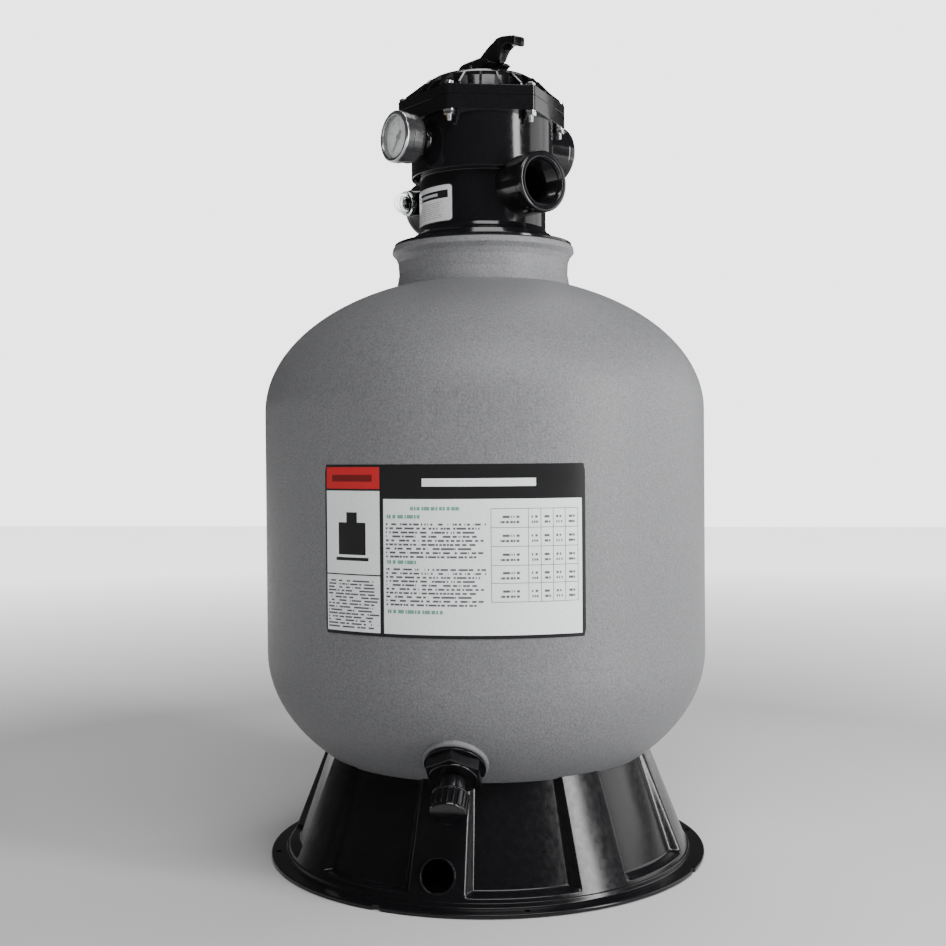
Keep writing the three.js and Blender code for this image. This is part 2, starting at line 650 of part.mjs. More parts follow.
function makeNeedle() {
  const blade = [[-0.9, 0], [-1.6, -7.5], [1.6, -7.5], [0.9, 0], [0.35, 16.5], [-0.35, 16.5]];
  const plate = prism(blade, 105, 105.8);
  const needle = join(plate, rod(2.6, 104.6, 106.4, 16), rod(1.1, 97, 105, 12));
  return placed(toGeometry(needle), new THREE.Matrix4().makeRotationZ(-radians(NEEDLE_REST)));
}
add('gauge_needle', makeNeedle(), NEEDLE_PAINT, gauge);
add('gauge_lens', rod(22.6, 107, 108.4, 28), CLEAR, gauge);
add('gauge_bezel', turned([
  [GAUGE_R + GAP, 101], [GAUGE_R + 1.1, 101], [GAUGE_R + 1.1, 109.8], [GAUGE_R + 0.4, 111],
  [21, 111], [21, 109], [GAUGE_R + GAP, 109], [GAUGE_R + GAP, 101],
], 28), SILVER, gauge);

// ---- sight glass on the waste port ----
const sight = groupAt(sightFrame);
const DOME_FOOT = SIGHT_FACE + 5;
const sightDome = [
  [5.5, SIGHT_FACE - 8], [7.6, SIGHT_FACE - 8], [7.6, SIGHT_FACE + 1.9], [13, SIGHT_FACE + 1.9],
  [13, SIGHT_FACE + 4.4], [11, DOME_FOOT], ...arc(11, 12, DOME_FOOT, 15, 90, 4),
  ...arc(8.6, 9.8, DOME_FOOT, 90, 0, 3), [5.5, SIGHT_FACE + 2], [5.5, SIGHT_FACE - 8],
];
add('sight_glass', turned(sightDome, 18), CLEAR, sight);
add('sight_glass_oring', ring(8.6, 12, SIGHT_FACE + GAP, SIGHT_FACE + 1.6, 24), RUBBER, sight);

// ---- pipework inside the tank ----
add('standpipe', ring(PIPE_R - 2.5, PIPE_R, LATERAL_Z + 2, PIPE_TOP_Z, PIPE_SEGMENTS), WHITE_PLASTIC);
const lateralAzimuths = Array.from({ length: LATERAL_COUNT }, (_, k) => 22.5 + 45 * k);
const HUB_R = 40;

function makeLateralHub() {
  const hub = turned([
    [0, LATERAL_Z - 16], [HUB_R - 4, LATERAL_Z - 16], [HUB_R, LATERAL_Z - 12], [HUB_R, LATERAL_Z + 12],
    [PIPE_R + 5, LATERAL_Z + 18], [PIPE_R + 5, LATERAL_Z + 30], [0, LATERAL_Z + 30],
  ], 24);
  const socket = rod(SOCKET_R, LATERAL_Z + 1.7, LATERAL_Z + 31, PIPE_SEGMENTS);
  const well = rod(PIPE_R - 4, LATERAL_Z - 10, LATERAL_Z + 5, 24);
  const sockets = lateralAzimuths.map((azimuth) => {
    return placed(rod(6.3, 15, HUB_R + 1, 10), outward(azimuth, 0, 0, LATERAL_Z));
  });
  return cut(solid(hub), socket, well, ...sockets);
}
add('lateral_hub', makeLateralHub(), WHITE_PLASTIC);

// A collecting arm with a closed tip and a plug-in end.
function makeLateral() {
  return turned([
    [4, 26], [6, 26], [6, HUB_R + GAP], [LATERAL_R, HUB_R + GAP],
    [LATERAL_R, LATERAL_REACH - 3], [LATERAL_R - 3, LATERAL_REACH], [0, LATERAL_REACH],
    [0, LATERAL_REACH - 4], [4, LATERAL_REACH - 4], [4, 26],
  ], 10);
}
lateralAzimuths.forEach((azimuth, k) => {
  add(`lateral_${k + 1}`, makeLateral(), WHITE_PLASTIC, groupAt(outward(azimuth, 0, 0, LATERAL_Z)));
});

// A bell round the standpipe that spreads the water under the valve.
add('top_diffuser', turned([
  [PIPE_R + GAP, 540], [32, 540], [62, 556], [68, 572], [68, 590], [65, 590], [65, 573],
  [60, 559.5], [32, 545], [29.5, 556], [PIPE_R + GAP, 556], [PIPE_R + GAP, 540],
], PIPE_SEGMENTS), WHITE_PLASTIC);

// ---- drain, built along its own +Z ----
const drain = groupAt(drainFrame);
add('drain_gasket', ring(DRAIN_HOLE_R + 0.2, 26.5, -3 + GAP, 1.4, 24), RUBBER, drain);

function makeDrainPlug() {
  const head = prism(polygon(6, 26, 30), 1.7, 14);
  const collar = rod(22.4, 13, 16, 24);
  const shank = rod(16.8, -22, 2, 24);
  return cut(join(head, collar, shank), rod(9, -23, 17, 20));
}
add('drain_plug', makeDrainPlug(), BLACK_GLOSS, drain);
add('drain_screen', turned([
  [9, -22.3], [14, -22.3], [14, -50], [12, -54], [0, -54], [0, -51.5], [10.8, -51.5], [12, -49],
  [12, -24.5], [9, -24.5], [9, -22.3],
], 16), WHITE_PLASTIC, drain);

function makeNipple() {
  const shank = rod(8.7, 0, 17, 20);
  const hex = prism(polygon(6, 12.1), 16.3, 30);
  const hose = rod(12, 29, 49, 20);
  return cut(join(shank, hex, hose), rod(6, -1, 50, 16));
}
add('drain_nipple', makeNipple(), BLACK_GLOSS, drain);
add('drain_cap_gasket', ring(5, 12, 49 + GAP, 50.3, 20), RUBBER, drain);

function makeDrainCap() {
  const cap = turned([
    [0, 32], [17.2, 32], [17.2, 51.8], [16.2, 53], [0, 53],
  ], 28);
  return cut(solid(cap), rod(12.4, 31, 50.6, 20));
}
add('drain_cap', makeDrainCap(), BLACK_GLOSS, drain);

export default filter;
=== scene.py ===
"""Looks for the sand filter tank: finer pieces over the CAD frame, materials, light and camera."""

import json
import math

import bmesh
import bpy
from mathutils import Matrix, Vector


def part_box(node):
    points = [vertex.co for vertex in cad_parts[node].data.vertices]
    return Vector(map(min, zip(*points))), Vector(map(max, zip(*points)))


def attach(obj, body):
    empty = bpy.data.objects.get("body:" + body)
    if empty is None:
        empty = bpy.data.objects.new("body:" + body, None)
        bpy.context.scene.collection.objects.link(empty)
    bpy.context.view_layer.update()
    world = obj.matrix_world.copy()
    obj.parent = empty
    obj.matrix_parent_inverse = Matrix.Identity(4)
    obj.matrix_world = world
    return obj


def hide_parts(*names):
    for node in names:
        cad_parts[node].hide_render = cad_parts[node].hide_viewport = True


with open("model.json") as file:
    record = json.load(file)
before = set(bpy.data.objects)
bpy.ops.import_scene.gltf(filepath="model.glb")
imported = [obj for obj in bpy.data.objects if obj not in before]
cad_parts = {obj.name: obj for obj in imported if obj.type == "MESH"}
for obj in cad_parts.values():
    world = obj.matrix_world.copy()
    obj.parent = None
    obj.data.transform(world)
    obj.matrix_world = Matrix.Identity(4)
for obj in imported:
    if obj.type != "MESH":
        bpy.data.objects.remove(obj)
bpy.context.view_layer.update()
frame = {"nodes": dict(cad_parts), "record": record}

MM = 0.001
tank_low, tank_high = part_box("tank_shell")
AXIS = Vector(((tank_low.x + tank_high.x) / 2, (tank_low.y + tank_high.y) / 2, 0))


# ---------------------------------------------------------------- shader helpers
class Value:
    """A shader socket that can be added, multiplied and compared like a number."""

    def __init__(self, tree, socket):
        self.tree = tree
        self.socket = socket

    def _math(self, operation, other=None, third=None):
        node = self.tree.nodes.new("ShaderNodeMath")
        node.operation = operation
        for slot, value in zip(node.inputs, (self, other, third)):
            if isinstance(value, Value):
                self.tree.links.new(value.socket, slot)
            elif value is not None:
                slot.default_value = value
        return Value(self.tree, node.outputs[0])

    def __add__(self, other):
        return self._math("ADD", other)

    def __sub__(self, other):
        return self._math("SUBTRACT", other)

    def __mul__(self, other):
        return self._math("MULTIPLY", other)

    def __lt__(self, other):
        return self._math("LESS_THAN", other)

    def __gt__(self, other):
        return self._math("GREATER_THAN", other)

    def fract(self):
        return self._math("FRACT")

    def floor(self):
        return self._math("FLOOR")

    def either(self, other):
        return self._math("MAXIMUM", other)

    def clamped(self):
        result = self._math("MULTIPLY", 1.0)
        result.socket.node.use_clamp = True
        return result


def new_material(name):
    material = bpy.data.materials.new(name)
    material.use_nodes = True
    tree = material.node_tree
    shader = tree.nodes["Principled BSDF"]
    return material, tree, shader


def noise(tree, scale, detail, stretch=None):
    """A noise value from object coordinates, centred near a half, with scale in cells to the metre."""
    where = tree.nodes.new("ShaderNodeTexCoord").outputs["Object"]
    if stretch:
        mapping = tree.nodes.new("ShaderNodeMapping")
        mapping.inputs["Scale"].default_value = stretch
        tree.links.new(where, mapping.inputs["Vector"])
        where = mapping.outputs["Vector"]
    node = tree.nodes.new("ShaderNodeTexNoise")
    node.inputs["Scale"].default_value = scale
    node.inputs["Detail"].default_value = detail
    tree.links.new(where, node.inputs["Vector"])
    return Value(tree, node.outputs["Fac"])


def ramp(tree, value, low, high):
    """Maps a value's middle range onto low..high."""
    node = tree.nodes.new("ShaderNodeMapRange")
    node.inputs["From Min"].default_value = 0.3
    node.inputs["From Max"].default_value = 0.7
    node.inputs["To Min"].default_value = low
    node.inputs["To Max"].default_value = high
    tree.links.new(value.socket, node.inputs["Value"])
    return Value(tree, node.outputs["Result"])


def mix_colour(tree, mask, first, second):
    """A colour that is first where mask is 0 and second where it is 1."""
    node = tree.nodes.new("ShaderNodeMix")
    node.data_type = "RGBA"
    tree.links.new(mask.socket, node.inputs["Factor"])
    for slot, colour in ((node.inputs[6], first), (node.inputs[7], second)):
        if isinstance(colour, bpy.types.NodeSocket):
            tree.links.new(colour, slot)
        else:
            slot.default_value = (*colour, 1)
    return node.outputs[2]


def bump(tree, shader, value, distance):
    node = tree.nodes.new("ShaderNodeBump")
    node.inputs["Distance"].default_value = distance
    tree.links.new(value.socket, node.inputs["Height"])
    tree.links.new(node.outputs["Normal"], shader.inputs["Normal"])


def plastic(name, dark, light, rough, grain, depth, waves=0.0, shine=0.5):
    """Moulded plastic: mottled colour, uneven gloss and a fine grain."""
    material, tree, shader = new_material(name)
    mottle = noise(tree, grain * 0.25, 3.0)
    fine = noise(tree, grain, 2.0)
    colour = mix_colour(tree, ramp(tree, fine * 0.8 + mottle * 0.2, 0, 1), dark, light)
    tree.links.new(colour, shader.inputs["Base Color"])
    tree.links.new(ramp(tree, mottle, *rough).socket, shader.inputs["Roughness"])
    shader.inputs["Specular IOR Level"].default_value = shine
    relief = fine
    if waves:
        relief = fine * 0.02 + noise(tree, waves, 1.0)
    bump(tree, shader, relief, depth)
    return material


def metal(name, dark, light, rough, stretch):
    """Drawn or turned metal with fine scratches along one way."""
    material, tree, shader = new_material(name)
    shader.inputs["Metallic"].default_value = 1.0
    scratches = noise(tree, 400, 4.0, stretch=stretch)
    colour = mix_colour(tree, ramp(tree, scratches, 0, 1), dark, light)
    tree.links.new(colour, shader.inputs["Base Color"])
    tree.links.new(ramp(tree, noise(tree, 90, 3.0), *rough).socket, shader.inputs["Roughness"])
    bump(tree, shader, scratches, 0.00003)
    return material


def glass(name, colour, rough):
    material, tree, shader = new_material(name)
    shader.inputs["Transmission Weight"].default_value = 1.0
    shader.inputs["IOR"].default_value = 1.45
    haze = noise(tree, 60, 3.0)
    tint = mix_colour(tree, ramp(tree, haze, 0, 1), colour, (1, 1, 1))
    tree.links.new(tint, shader.inputs["Base Color"])
    tree.links.new(ramp(tree, haze, *rough).socket, shader.inputs["Roughness"])
    return material


def thin_window(name):
    """A clear pane that lets light through to what is behind it."""
    material, tree, shader = new_material(name)
    shader.inputs["Base Color"].default_value = (0.95, 0.97, 0.98, 1)
    shader.inputs["Roughness"].default_value = 0.03
    tree.links.new(ramp(tree, noise(tree, 80, 3.0), 0.12, 0.2).socket, shader.inputs["Alpha"])
    return material


class Print:
    """Ink on a printed sheet, laid out in the sheet's own 0..1 coordinates from its lower left."""

    def __init__(self, name, paper):
        self.material, self.tree, self.shader = new_material(name)
        uv = self.tree.nodes.new("ShaderNodeUVMap")
        split = self.tree.nodes.new("ShaderNodeSeparateXYZ")
        self.tree.links.new(uv.outputs["UV"], split.inputs["Vector"])
        self.u = Value(self.tree, split.outputs["X"])
        self.v = Value(self.tree, split.outputs["Y"])
        grain = noise(self.tree, 500, 2.0)
        faded = tuple(c * 0.93 for c in paper)
        self.colour = mix_colour(self.tree, ramp(self.tree, grain, 0, 1), faded, paper)

    def box(self, u0, u1, v0, v1):
        return (self.u > u0) * (self.u < u1) * (self.v > v0) * (self.v < v1)

    def ink(self, mask, colour):
        self.colour = mix_colour(self.tree, mask, self.colour, colour)

    def rules(self, u0, u1, v0, v1, count, share, word):
        """Lines of broken marks, like small print: count lines, each filling a share of its height."""
        row = (self.v - v0) * (count / (v1 - v0))
        marks = self.tree.nodes.new("ShaderNodeTexNoise")
        marks.noise_dimensions = "2D"
        marks.inputs["Scale"].default_value = 1.0
        marks.inputs["Detail"].default_value = 1.0
        where = self.tree.nodes.new("ShaderNodeCombineXYZ")
        self.tree.links.new((self.u * word).socket, where.inputs["X"])
        self.tree.links.new((row.floor() * 7.3).socket, where.inputs["Y"])
        self.tree.links.new(where.outputs["Vector"], marks.inputs["Vector"])
        broken = Value(self.tree, marks.outputs["Fac"]) > 0.44
        ends = self.tree.nodes.new("ShaderNodeTexNoise")
        ends.noise_dimensions = "1D"
        ends.inputs["Scale"].default_value = 1.7
        self.tree.links.new(row.floor().socket, ends.inputs["W"])
        stop = Value(self.tree, ends.outputs["Fac"]) * (u1 - u0) * 0.75 + (u0 + (u1 - u0) * 0.55)
        return self.box(u0, u1, v0, v1) * (row.fract() < share) * broken * (self.u < stop)

    def grid(self, columns, rows, thick):
        """Thin lines at the given columns and rows."""
        u0, u1, v0, v1 = columns[0], columns[-1], rows[0], rows[-1]
        lines = None
        for u in columns:
            line = self.box(u - thick, u + thick, v0, v1)
            lines = line if lines is None else lines.either(line)
        for v in rows:
            lines = lines.either(self.box(u0, u1, v - thick * 1.6, v + thick * 1.6))
        return lines

    def finish(self, rough):
        self.tree.links.new(self.colour, self.shader.inputs["Base Color"])
        uneven = noise(self.tree, 40, 2.0)
        self.tree.links.new(ramp(self.tree, uneven, *rough).socket, self.shader.inputs["Roughness"])
        bump(self.tree, self.shader, uneven, 0.00005)
        return self.material


# ---------------------------------------------------------------- materials
INK = (0.012, 0.012, 0.013)
SOFT_INK = (0.10, 0.10, 0.11)
GREEN_INK = (0.16, 0.36, 0.27)
RED_INK = (0.55, 0.02, 0.025)
WHITE_INK = (0.82, 0.83, 0.84)


def label_material():
    """Operating label: dark border and title band, a red band, small print and a table."""
    sheet = Print("label_print", (0.90, 0.92, 0.93))
    black = sheet.box(0, 1, 0, 1) - sheet.box(0.008, 0.247, 0.020, 0.985)
    black = black - sheet.box(0.262, 0.986, 0.020, 0.800)
    black = black.either(sheet.box(0.0, 0.25, 0.350, 0.358))
    black = black.either(sheet.box(0.0, 0.25, 0.846, 0.858))
    sheet.ink(black, INK)
    sheet.ink(sheet.box(0.008, 0.247, 0.858, 0.985), RED_INK)
    sheet.ink(sheet.box(0.036, 0.216, 0.900, 0.940), (0.16, 0.01, 0.01))
    sheet.ink(sheet.box(0.41, 0.815, 0.872, 0.918), WHITE_INK)
    sheet.ink(sheet.box(0.066, 0.188, 0.47, 0.66).either(sheet.box(0.103, 0.151, 0.66, 0.72)), INK)
    sheet.ink(sheet.box(0.054, 0.200, 0.435, 0.455), INK)
    sheet.ink(sheet.rules(0.014, 0.242, 0.04, 0.33, 15, 0.5, 60), SOFT_INK)
    sheet.ink(sheet.rules(0.272, 0.637, 0.462, 0.672, 9, 0.5, 90), SOFT_INK)
    sheet.ink(sheet.rules(0.272, 0.637, 0.185, 0.412, 10, 0.5, 90), SOFT_INK)
    headings = ((0.366, 0.545, 0.735), (0.272, 0.408, 0.688), (0.272, 0.387, 0.426), (0.274, 0.483, 0.140))
    for u0, u1, v in headings:
        sheet.ink(sheet.rules(u0, u1 + 0.1, v, v + 0.022, 1, 0.95, 110) * (sheet.u < u1), GREEN_INK)
    columns = (0.655, 0.787, 0.832, 0.877, 0.922, 0.970)
    rows = (0.210, 0.318, 0.420, 0.528, 0.636, 0.744)
    sheet.ink(sheet.grid(columns, rows, 0.0011), SOFT_INK)
    for low, high in zip(rows, rows[1:]):
        middle = (low + high) / 2
        for left, right in zip(columns, columns[1:]):
            inset = (right - left) * 0.24
            sheet.ink(sheet.rules(left + inset, right - inset + 0.04, middle - 0.03, middle + 0.03, 2,
                                  0.45, 130)
                      * (sheet.u < right - inset), SOFT_INK)
    sheet.shader.inputs["Specular IOR Level"].default_value = 0.15
    return sheet.finish((0.28, 0.36))


def sticker_material():
    """Maker's sticker: a dark heading bar over small print."""
    sheet = Print("sticker_print", (0.72, 0.72, 0.74))
    sheet.ink(sheet.box(0.08, 0.93, 0.64, 0.86), INK)
    sheet.ink(sheet.box(0.16, 0.72, 0.71, 0.79), (0.5, 0.5, 0.52))
    sheet.ink(sheet.rules(0.10, 0.86, 0.10, 0.58, 8, 0.4, 45), (0.30, 0.30, 0.31))
    return sheet.finish((0.2, 0.28))


BLACK = (0.004, 0.004, 0.005)
SOFT_BLACK = (0.008, 0.008, 0.009)
MATERIALS = {
    "grey_shell": plastic("grey_shell", (0.118, 0.119, 0.124), (0.196, 0.197, 0.205), (0.46, 0.54), 520,
                          0.0004),
    "black_gloss": plastic("black_gloss", BLACK, SOFT_BLACK, (0.10, 0.16), 900, 0.0004, waves=26,
                           shine=0.36),
    "black_satin": plastic("black_satin", BLACK, SOFT_BLACK, (0.17, 0.25), 800, 0.0005, waves=18,
                           shine=0.36),
    "rubber": plastic("rubber", (0.012, 0.012, 0.012), (0.024, 0.024, 0.025), (0.6, 0.75), 900, 0.0001),
    "steel": metal("steel", (0.55, 0.56, 0.57), (0.78, 0.79, 0.8), (0.14, 0.26), (1, 1, 6)),
    "silver": metal("silver", (0.45, 0.46, 0.47), (0.68, 0.69, 0.7), (0.2, 0.3), (1, 1, 5)),
    "case_grey": plastic("case_grey", (0.018, 0.018, 0.019), (0.03, 0.03, 0.032), (0.2, 0.27), 500,
                         0.00005),
    "brass": metal("brass", (0.5, 0.36, 0.14), (0.66, 0.5, 0.22), (0.22, 0.34), (1, 1, 5)),
    "paper": plastic("paper", (0.68, 0.68, 0.68), (0.76, 0.76, 0.76), (0.4, 0.5), 700, 0.00004),
    "white_plastic": plastic("white_plastic", (0.62, 0.62, 0.6), (0.72, 0.72, 0.7), (0.36, 0.48), 600,
                             0.0001),
    "needle_paint": plastic("needle_paint", (0.012, 0.012, 0.012), (0.03, 0.03, 0.03), (0.35, 0.5), 900,
                            0.00005),
    "clear": glass("clear", (0.93, 0.95, 0.96), (0.01, 0.04)),
}
LABEL = label_material()
WINDOW = thin_window("window")
STICKER = sticker_material()


# ---------------------------------------------------------------- mesh helpers
def outward(azimuth, x, y, z, tilt=0.0):
    """A frame whose +Z points outward at the azimuth, tilted down, with +Y up."""
    a, t = math.radians(azimuth), math.radians(tilt)
    dx, dy = math.sin(a), -math.cos(a)
    out = Vector((dx * math.cos(t), dy * math.cos(t), -math.sin(t)))
    up = Vector((dx * math.sin(t), dy * math.sin(t), math.cos(t)))
    right = up.cross(out)
    matrix = Matrix((right, up, out)).transposed().to_4x4()
    matrix.translation = Vector((x, y, z))
    return matrix


def towards(azimuth, radius):
    """The x and y at a radius, with azimuths counted from the front towards +X."""
    a = math.radians(azimuth)
    return radius * math.sin(a), -radius * math.cos(a)


def make(name, points, faces, matrix=None, sharp=32):
    """A mesh object from points in millimetres about the tank's axis, with its faces pointing out."""
    mesh = bpy.data.meshes.new(name)
    place = matrix or Matrix.Identity(4)
    mesh.from_pydata([(place @ Vector(p)) * MM + AXIS for p in points], [], faces)
    whole = bmesh.new()
    whole.from_mesh(mesh)
    bmesh.ops.recalc_face_normals(whole, faces=whole.faces)
    whole.to_mesh(mesh)
    whole.free()
    item = bpy.data.objects.new(name, mesh)
    bpy.context.scene.collection.objects.link(item)
    smooth(item, sharp)
    return item


def smooth(item, sharp=32):
    item.data.shade_smooth()
    item.data.set_sharp_from_angle(angle=math.radians(sharp))


def rounded(corners, steps=4):
    """An outline with rounded corners from (x, y, radius) triples."""
    outline = []
    count = len(corners)
    for i, (x, y, radius) in enumerate(corners):
        point = Vector((x, y))
        if radius <= 0:
            outline.append((x, y))
            continue
        back = Vector(corners[i - 1][:2]) - point
        ahead = Vector(corners[(i + 1) % count][:2]) - point
        reach = radius / math.tan(max(back.angle(ahead) / 2, 0.05))
        reach = min(reach, back.length * 0.48, ahead.length * 0.48)
        start = point + back.normalized() * reach
        end = point + ahead.normalized() * reach
        for k in range(steps + 1):
            t = k / steps
            outline.append(tuple(start * (1 - t) ** 2 + point * (2 * t * (1 - t)) + end * t * t))
    return outline


def lathe(name, profile, matrix=None, segments=128, sharp=32):
    """A solid of revolution about +Z from a closed (radius, z) outline."""
    points, rings = [], []
    for radius, z in profile:
        if radius < 1e-6:
            rings.append([len(points)] * segments)
            points.append((0, 0, z))
            continue
        rings.append(list(range(len(points), len(points) + segments)))
        for k in range(segments):
            a = 2 * math.pi * k / segments
            points.append((radius * math.cos(a), radius * math.sin(a), z))
    faces = []
    for one, two in zip(rings, rings[1:] + rings[:1]):
        for k in range(segments):
            n = (k + 1) % segments
            corners = list(dict.fromkeys((one[k], one[n], two[n], two[k])))
            if len(corners) > 2:
                faces.append(corners)
    return make(name, points, faces, matrix, sharp)


def prism(name, outline, z0, z1, matrix=None, bevel=0.0, sharp=32):
    """An outline pushed up from z0 to z1, with its edges eased by the bevel."""
    count = len(outline)
    points = [(x, y, z0) for x, y in outline] + [(x, y, z1) for x, y in outline]
    faces = [list(range(count)), list(range(count, 2 * count))]
    faces += [(k, (k + 1) % count, count + (k + 1) % count, count + k) for k in range(count)]
    item = make(name, points, faces, matrix, sharp)
    return ease(item, bevel) if bevel else item


def baked(item):
    """Applies the modifiers of an object."""
    graph = bpy.context.evaluated_depsgraph_get()
    mesh = bpy.data.meshes.new_from_object(item.evaluated_get(graph))
    item.modifiers.clear()
    item.data = mesh
    return item


def ease(item, width, segments=1, angle=30):
    """Chamfers or rounds an object's sharp edges."""
    modifier = item.modifiers.new("ease", "BEVEL")
    modifier.width = width * MM
    modifier.segments = segments
    modifier.limit_method = "ANGLE"
    modifier.angle_limit = math.radians(angle)
    baked(item)
    smooth(item, 30 if segments == 1 else 40)
    return item


def boolean(item, others, operation="DIFFERENCE", sharp=32):
    """Cuts, joins or meets an object with others, which are used up."""
    for other in others:
        modifier = item.modifiers.new("boolean", "BOOLEAN")
        modifier.operation = operation
        modifier.solver = "EXACT"
        modifier.object = other
    baked(item)
    for other in others:
        bpy.data.objects.remove(other)
    smooth(item, sharp)
    return item


def merged(name, items):
    """Several objects as one."""
    whole = bmesh.new()
    for item in items:
        whole.from_mesh(item.data)
    mesh = bpy.data.meshes.new(name)
    whole.to_mesh(mesh)
    whole.free()
    for item in items:
        bpy.data.objects.remove(item)
    result = bpy.data.objects.new(name, mesh)
    bpy.context.scene.collection.objects.link(result)
    return result


def dress(item, slot, body="filter", nodes=(), material=None):
    """Gives a piece its material, the body it rides on and the CAD nodes it stands for."""
    item.data.materials.clear()
    item.data.materials.append(material or MATERIALS[slot])
    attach(item, body)
    if nodes:
        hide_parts(*nodes)
    return item


def polygon(sides, corner_radius, flat_azimuth):
    """Corners of a regular polygon that has a flat side facing the azimuth."""
    step = 360 / sides
    return [towards(flat_azimuth + (k + 0.5) * step, corner_radius) for k in range(sides)]


def rounded_polygon(sides, corner_radius, flat_azimuth, radius):
    return rounded([(x, y, radius) for x, y in polygon(sides, corner_radius, flat_azimuth)], 5)


def ellipse(a, b, z, start, end, steps):
    """(radius, height) points along an ellipse with half axes a and b, centred at height z."""
    angles = [math.radians(start + (end - start) * k / steps) for k in range(steps + 1)]
    return [(a * math.cos(t), z + b * math.sin(t)) for t in angles]


def curved_sheet(name, inner, thick, half_width, half_height, corner, middle_azimuth, middle_z, cells):
    """A printed sheet with rounded corners, bent round the axis; its UVs run from 0 to 1."""
    wide, high = cells
    outline = []
    for row in range(high + 1):
        v = row / high
        y = (2 * v - 1) * half_height
        over = max(0.0, abs(y) - (half_height - corner))
        inset = corner - math.sqrt(max(0.0, corner ** 2 - over ** 2))
        outline.append((y, half_width - inset))
    points, faces, uvs = [], [], []
    for radius in (inner + thick, inner):
        for y, reach in outline:
            for column in range(wide + 1):
                x = (2 * column / wide - 1) * reach
                azimuth = middle_azimuth + math.degrees(x / inner)
                points.append((*towards(azimuth, radius), middle_z + y))
                uvs.append((x / (2 * half_width) + 0.5, y / (2 * half_height) + 0.5))
    across = wide + 1
    back = across * (high + 1)
    for row in range(high):
        for column in range(wide):
            a = row * across + column
            faces.append((a, a + 1, a + 1 + across, a + across))
            faces.append((back + a, back + a + across, back + a + 1 + across, back + a + 1))
    rim = list(range(across))
    rim += [row * across + wide for row in range(1, high + 1)]
    rim += [high * across + wide - k for k in range(1, across)]
    rim += [row * across for row in range(high - 1, 0, -1)]
    for one, two in zip(rim, rim[1:] + rim[:1]):
        faces.append((one, two, back + two, back + one))
    item = make(name, points, faces, sharp=50)
    layer = item.data.uv_layers.new(name="UVMap")
    for loop in item.data.loops:
        layer.data[loop.index].uv = uvs[loop.vertex_index]
    return item


# ---------------------------------------------------------------- tank
TANK_R = 228.5
WALL = 6
DOME_Z, DOME_H = 212, 153
SHOULDER_Z, SHOULDER_H = 458, 141.5
LIP_Z = 629.4
DRAIN = outward(0, 0, -196, 130.5, 42)


def make_tank():
    outside = ellipse(TANK_R, DOME_H, DOME_Z, -90, 0, 28)
    outside += ellipse(TANK_R, SHOULDER_H, SHOULDER_Z, 0, 66.6, 28)
    neck = rounded([
        (90.5, 590, 0), (88.5, 601, 4), (89.2, 613, 3), (91.5, 619, 4), (95.5, 623.5, 1.6),
        (94.6, LIP_Z, 1.6),
        (76, LIP_Z, 1.0), (76, 585, 0),
    ])
    inside = ellipse(TANK_R - WALL, SHOULDER_H - WALL, SHOULDER_Z, 69, 0, 20)
    inside += ellipse(TANK_R - WALL, DOME_H - WALL, DOME_Z, 0, -90, 20)
    shell = lathe("tank", outside + neck + inside, segments=192, sharp=40)
    pocket = lathe("pocket", [(0, -40), (28.5, -40), (28.5, 6), (0, 6)], DRAIN, 64)
    boolean(shell, [pocket], sharp=40)
    boss = lathe("boss", rounded([
        (17.4, -14, 0), (30.8, -14, 0), (30.6, -1, 2.2), (27.2, 0.4, 1.4), (26.8, -3, 0.8),
        (17.4, -3, 0.5),
    ]), DRAIN, 96)
    item = merged("tank", [shell, boss])
    return dress(item, "grey_shell", nodes=["tank_shell"])


make_tank()
LABEL_SHEET = curved_sheet("operating_label", TANK_R + 0.35, 0.4, 126, 77.5, 1.5, 0, 327.5, (96, 24))
dress(LABEL_SHEET, "paper", nodes=["tank_label"], material=LABEL)


# ---------------------------------------------------------------- base
RIB_COUNT = 8
RIB_HALF, RIB_WALL, RIB_TURN = 7.15, 2.4, -4.8
SKIRT_FOOT_R, SKIRT_TOP_R = 209, 169
BAND_Z, LEDGE_Z, SKIRT_TOP_Z = 9, 15, 110
RECESS_FOOT, RECESS_TOP = 10, 5
SKIRT_WALL = 4
ANCHOR_TURN, NOTCH_TURN = RIB_TURN + 22.5, RIB_TURN - 13.5
HOSE = outward(RIB_TURN, *towards(RIB_TURN, SKIRT_FOOT_R - 8), 29, -20)


def eased(t):
    """Goes from 0 to 1 with softened ends."""
    t = min(1.0, max(0.0, t))
    return 0.45 * t + 0.55 * t * t * (3 - 2 * t)


def skirt_radius(offset, z):
    """The skirt's radius at an angle from the middle of a rib."""
    slope = (z - BAND_Z) / (SKIRT_TOP_Z - BAND_Z)
    face = SKIRT_FOOT_R + (SKIRT_TOP_R - SKIRT_FOOT_R) * slope
    depth = RECESS_FOOT + (RECESS_TOP - RECESS_FOOT) * max(0.0, slope)
    side = eased((abs(offset) - RIB_HALF) / RIB_WALL)
    return face - depth * side * eased((z - (LEDGE_Z - 3)) / 3.5)


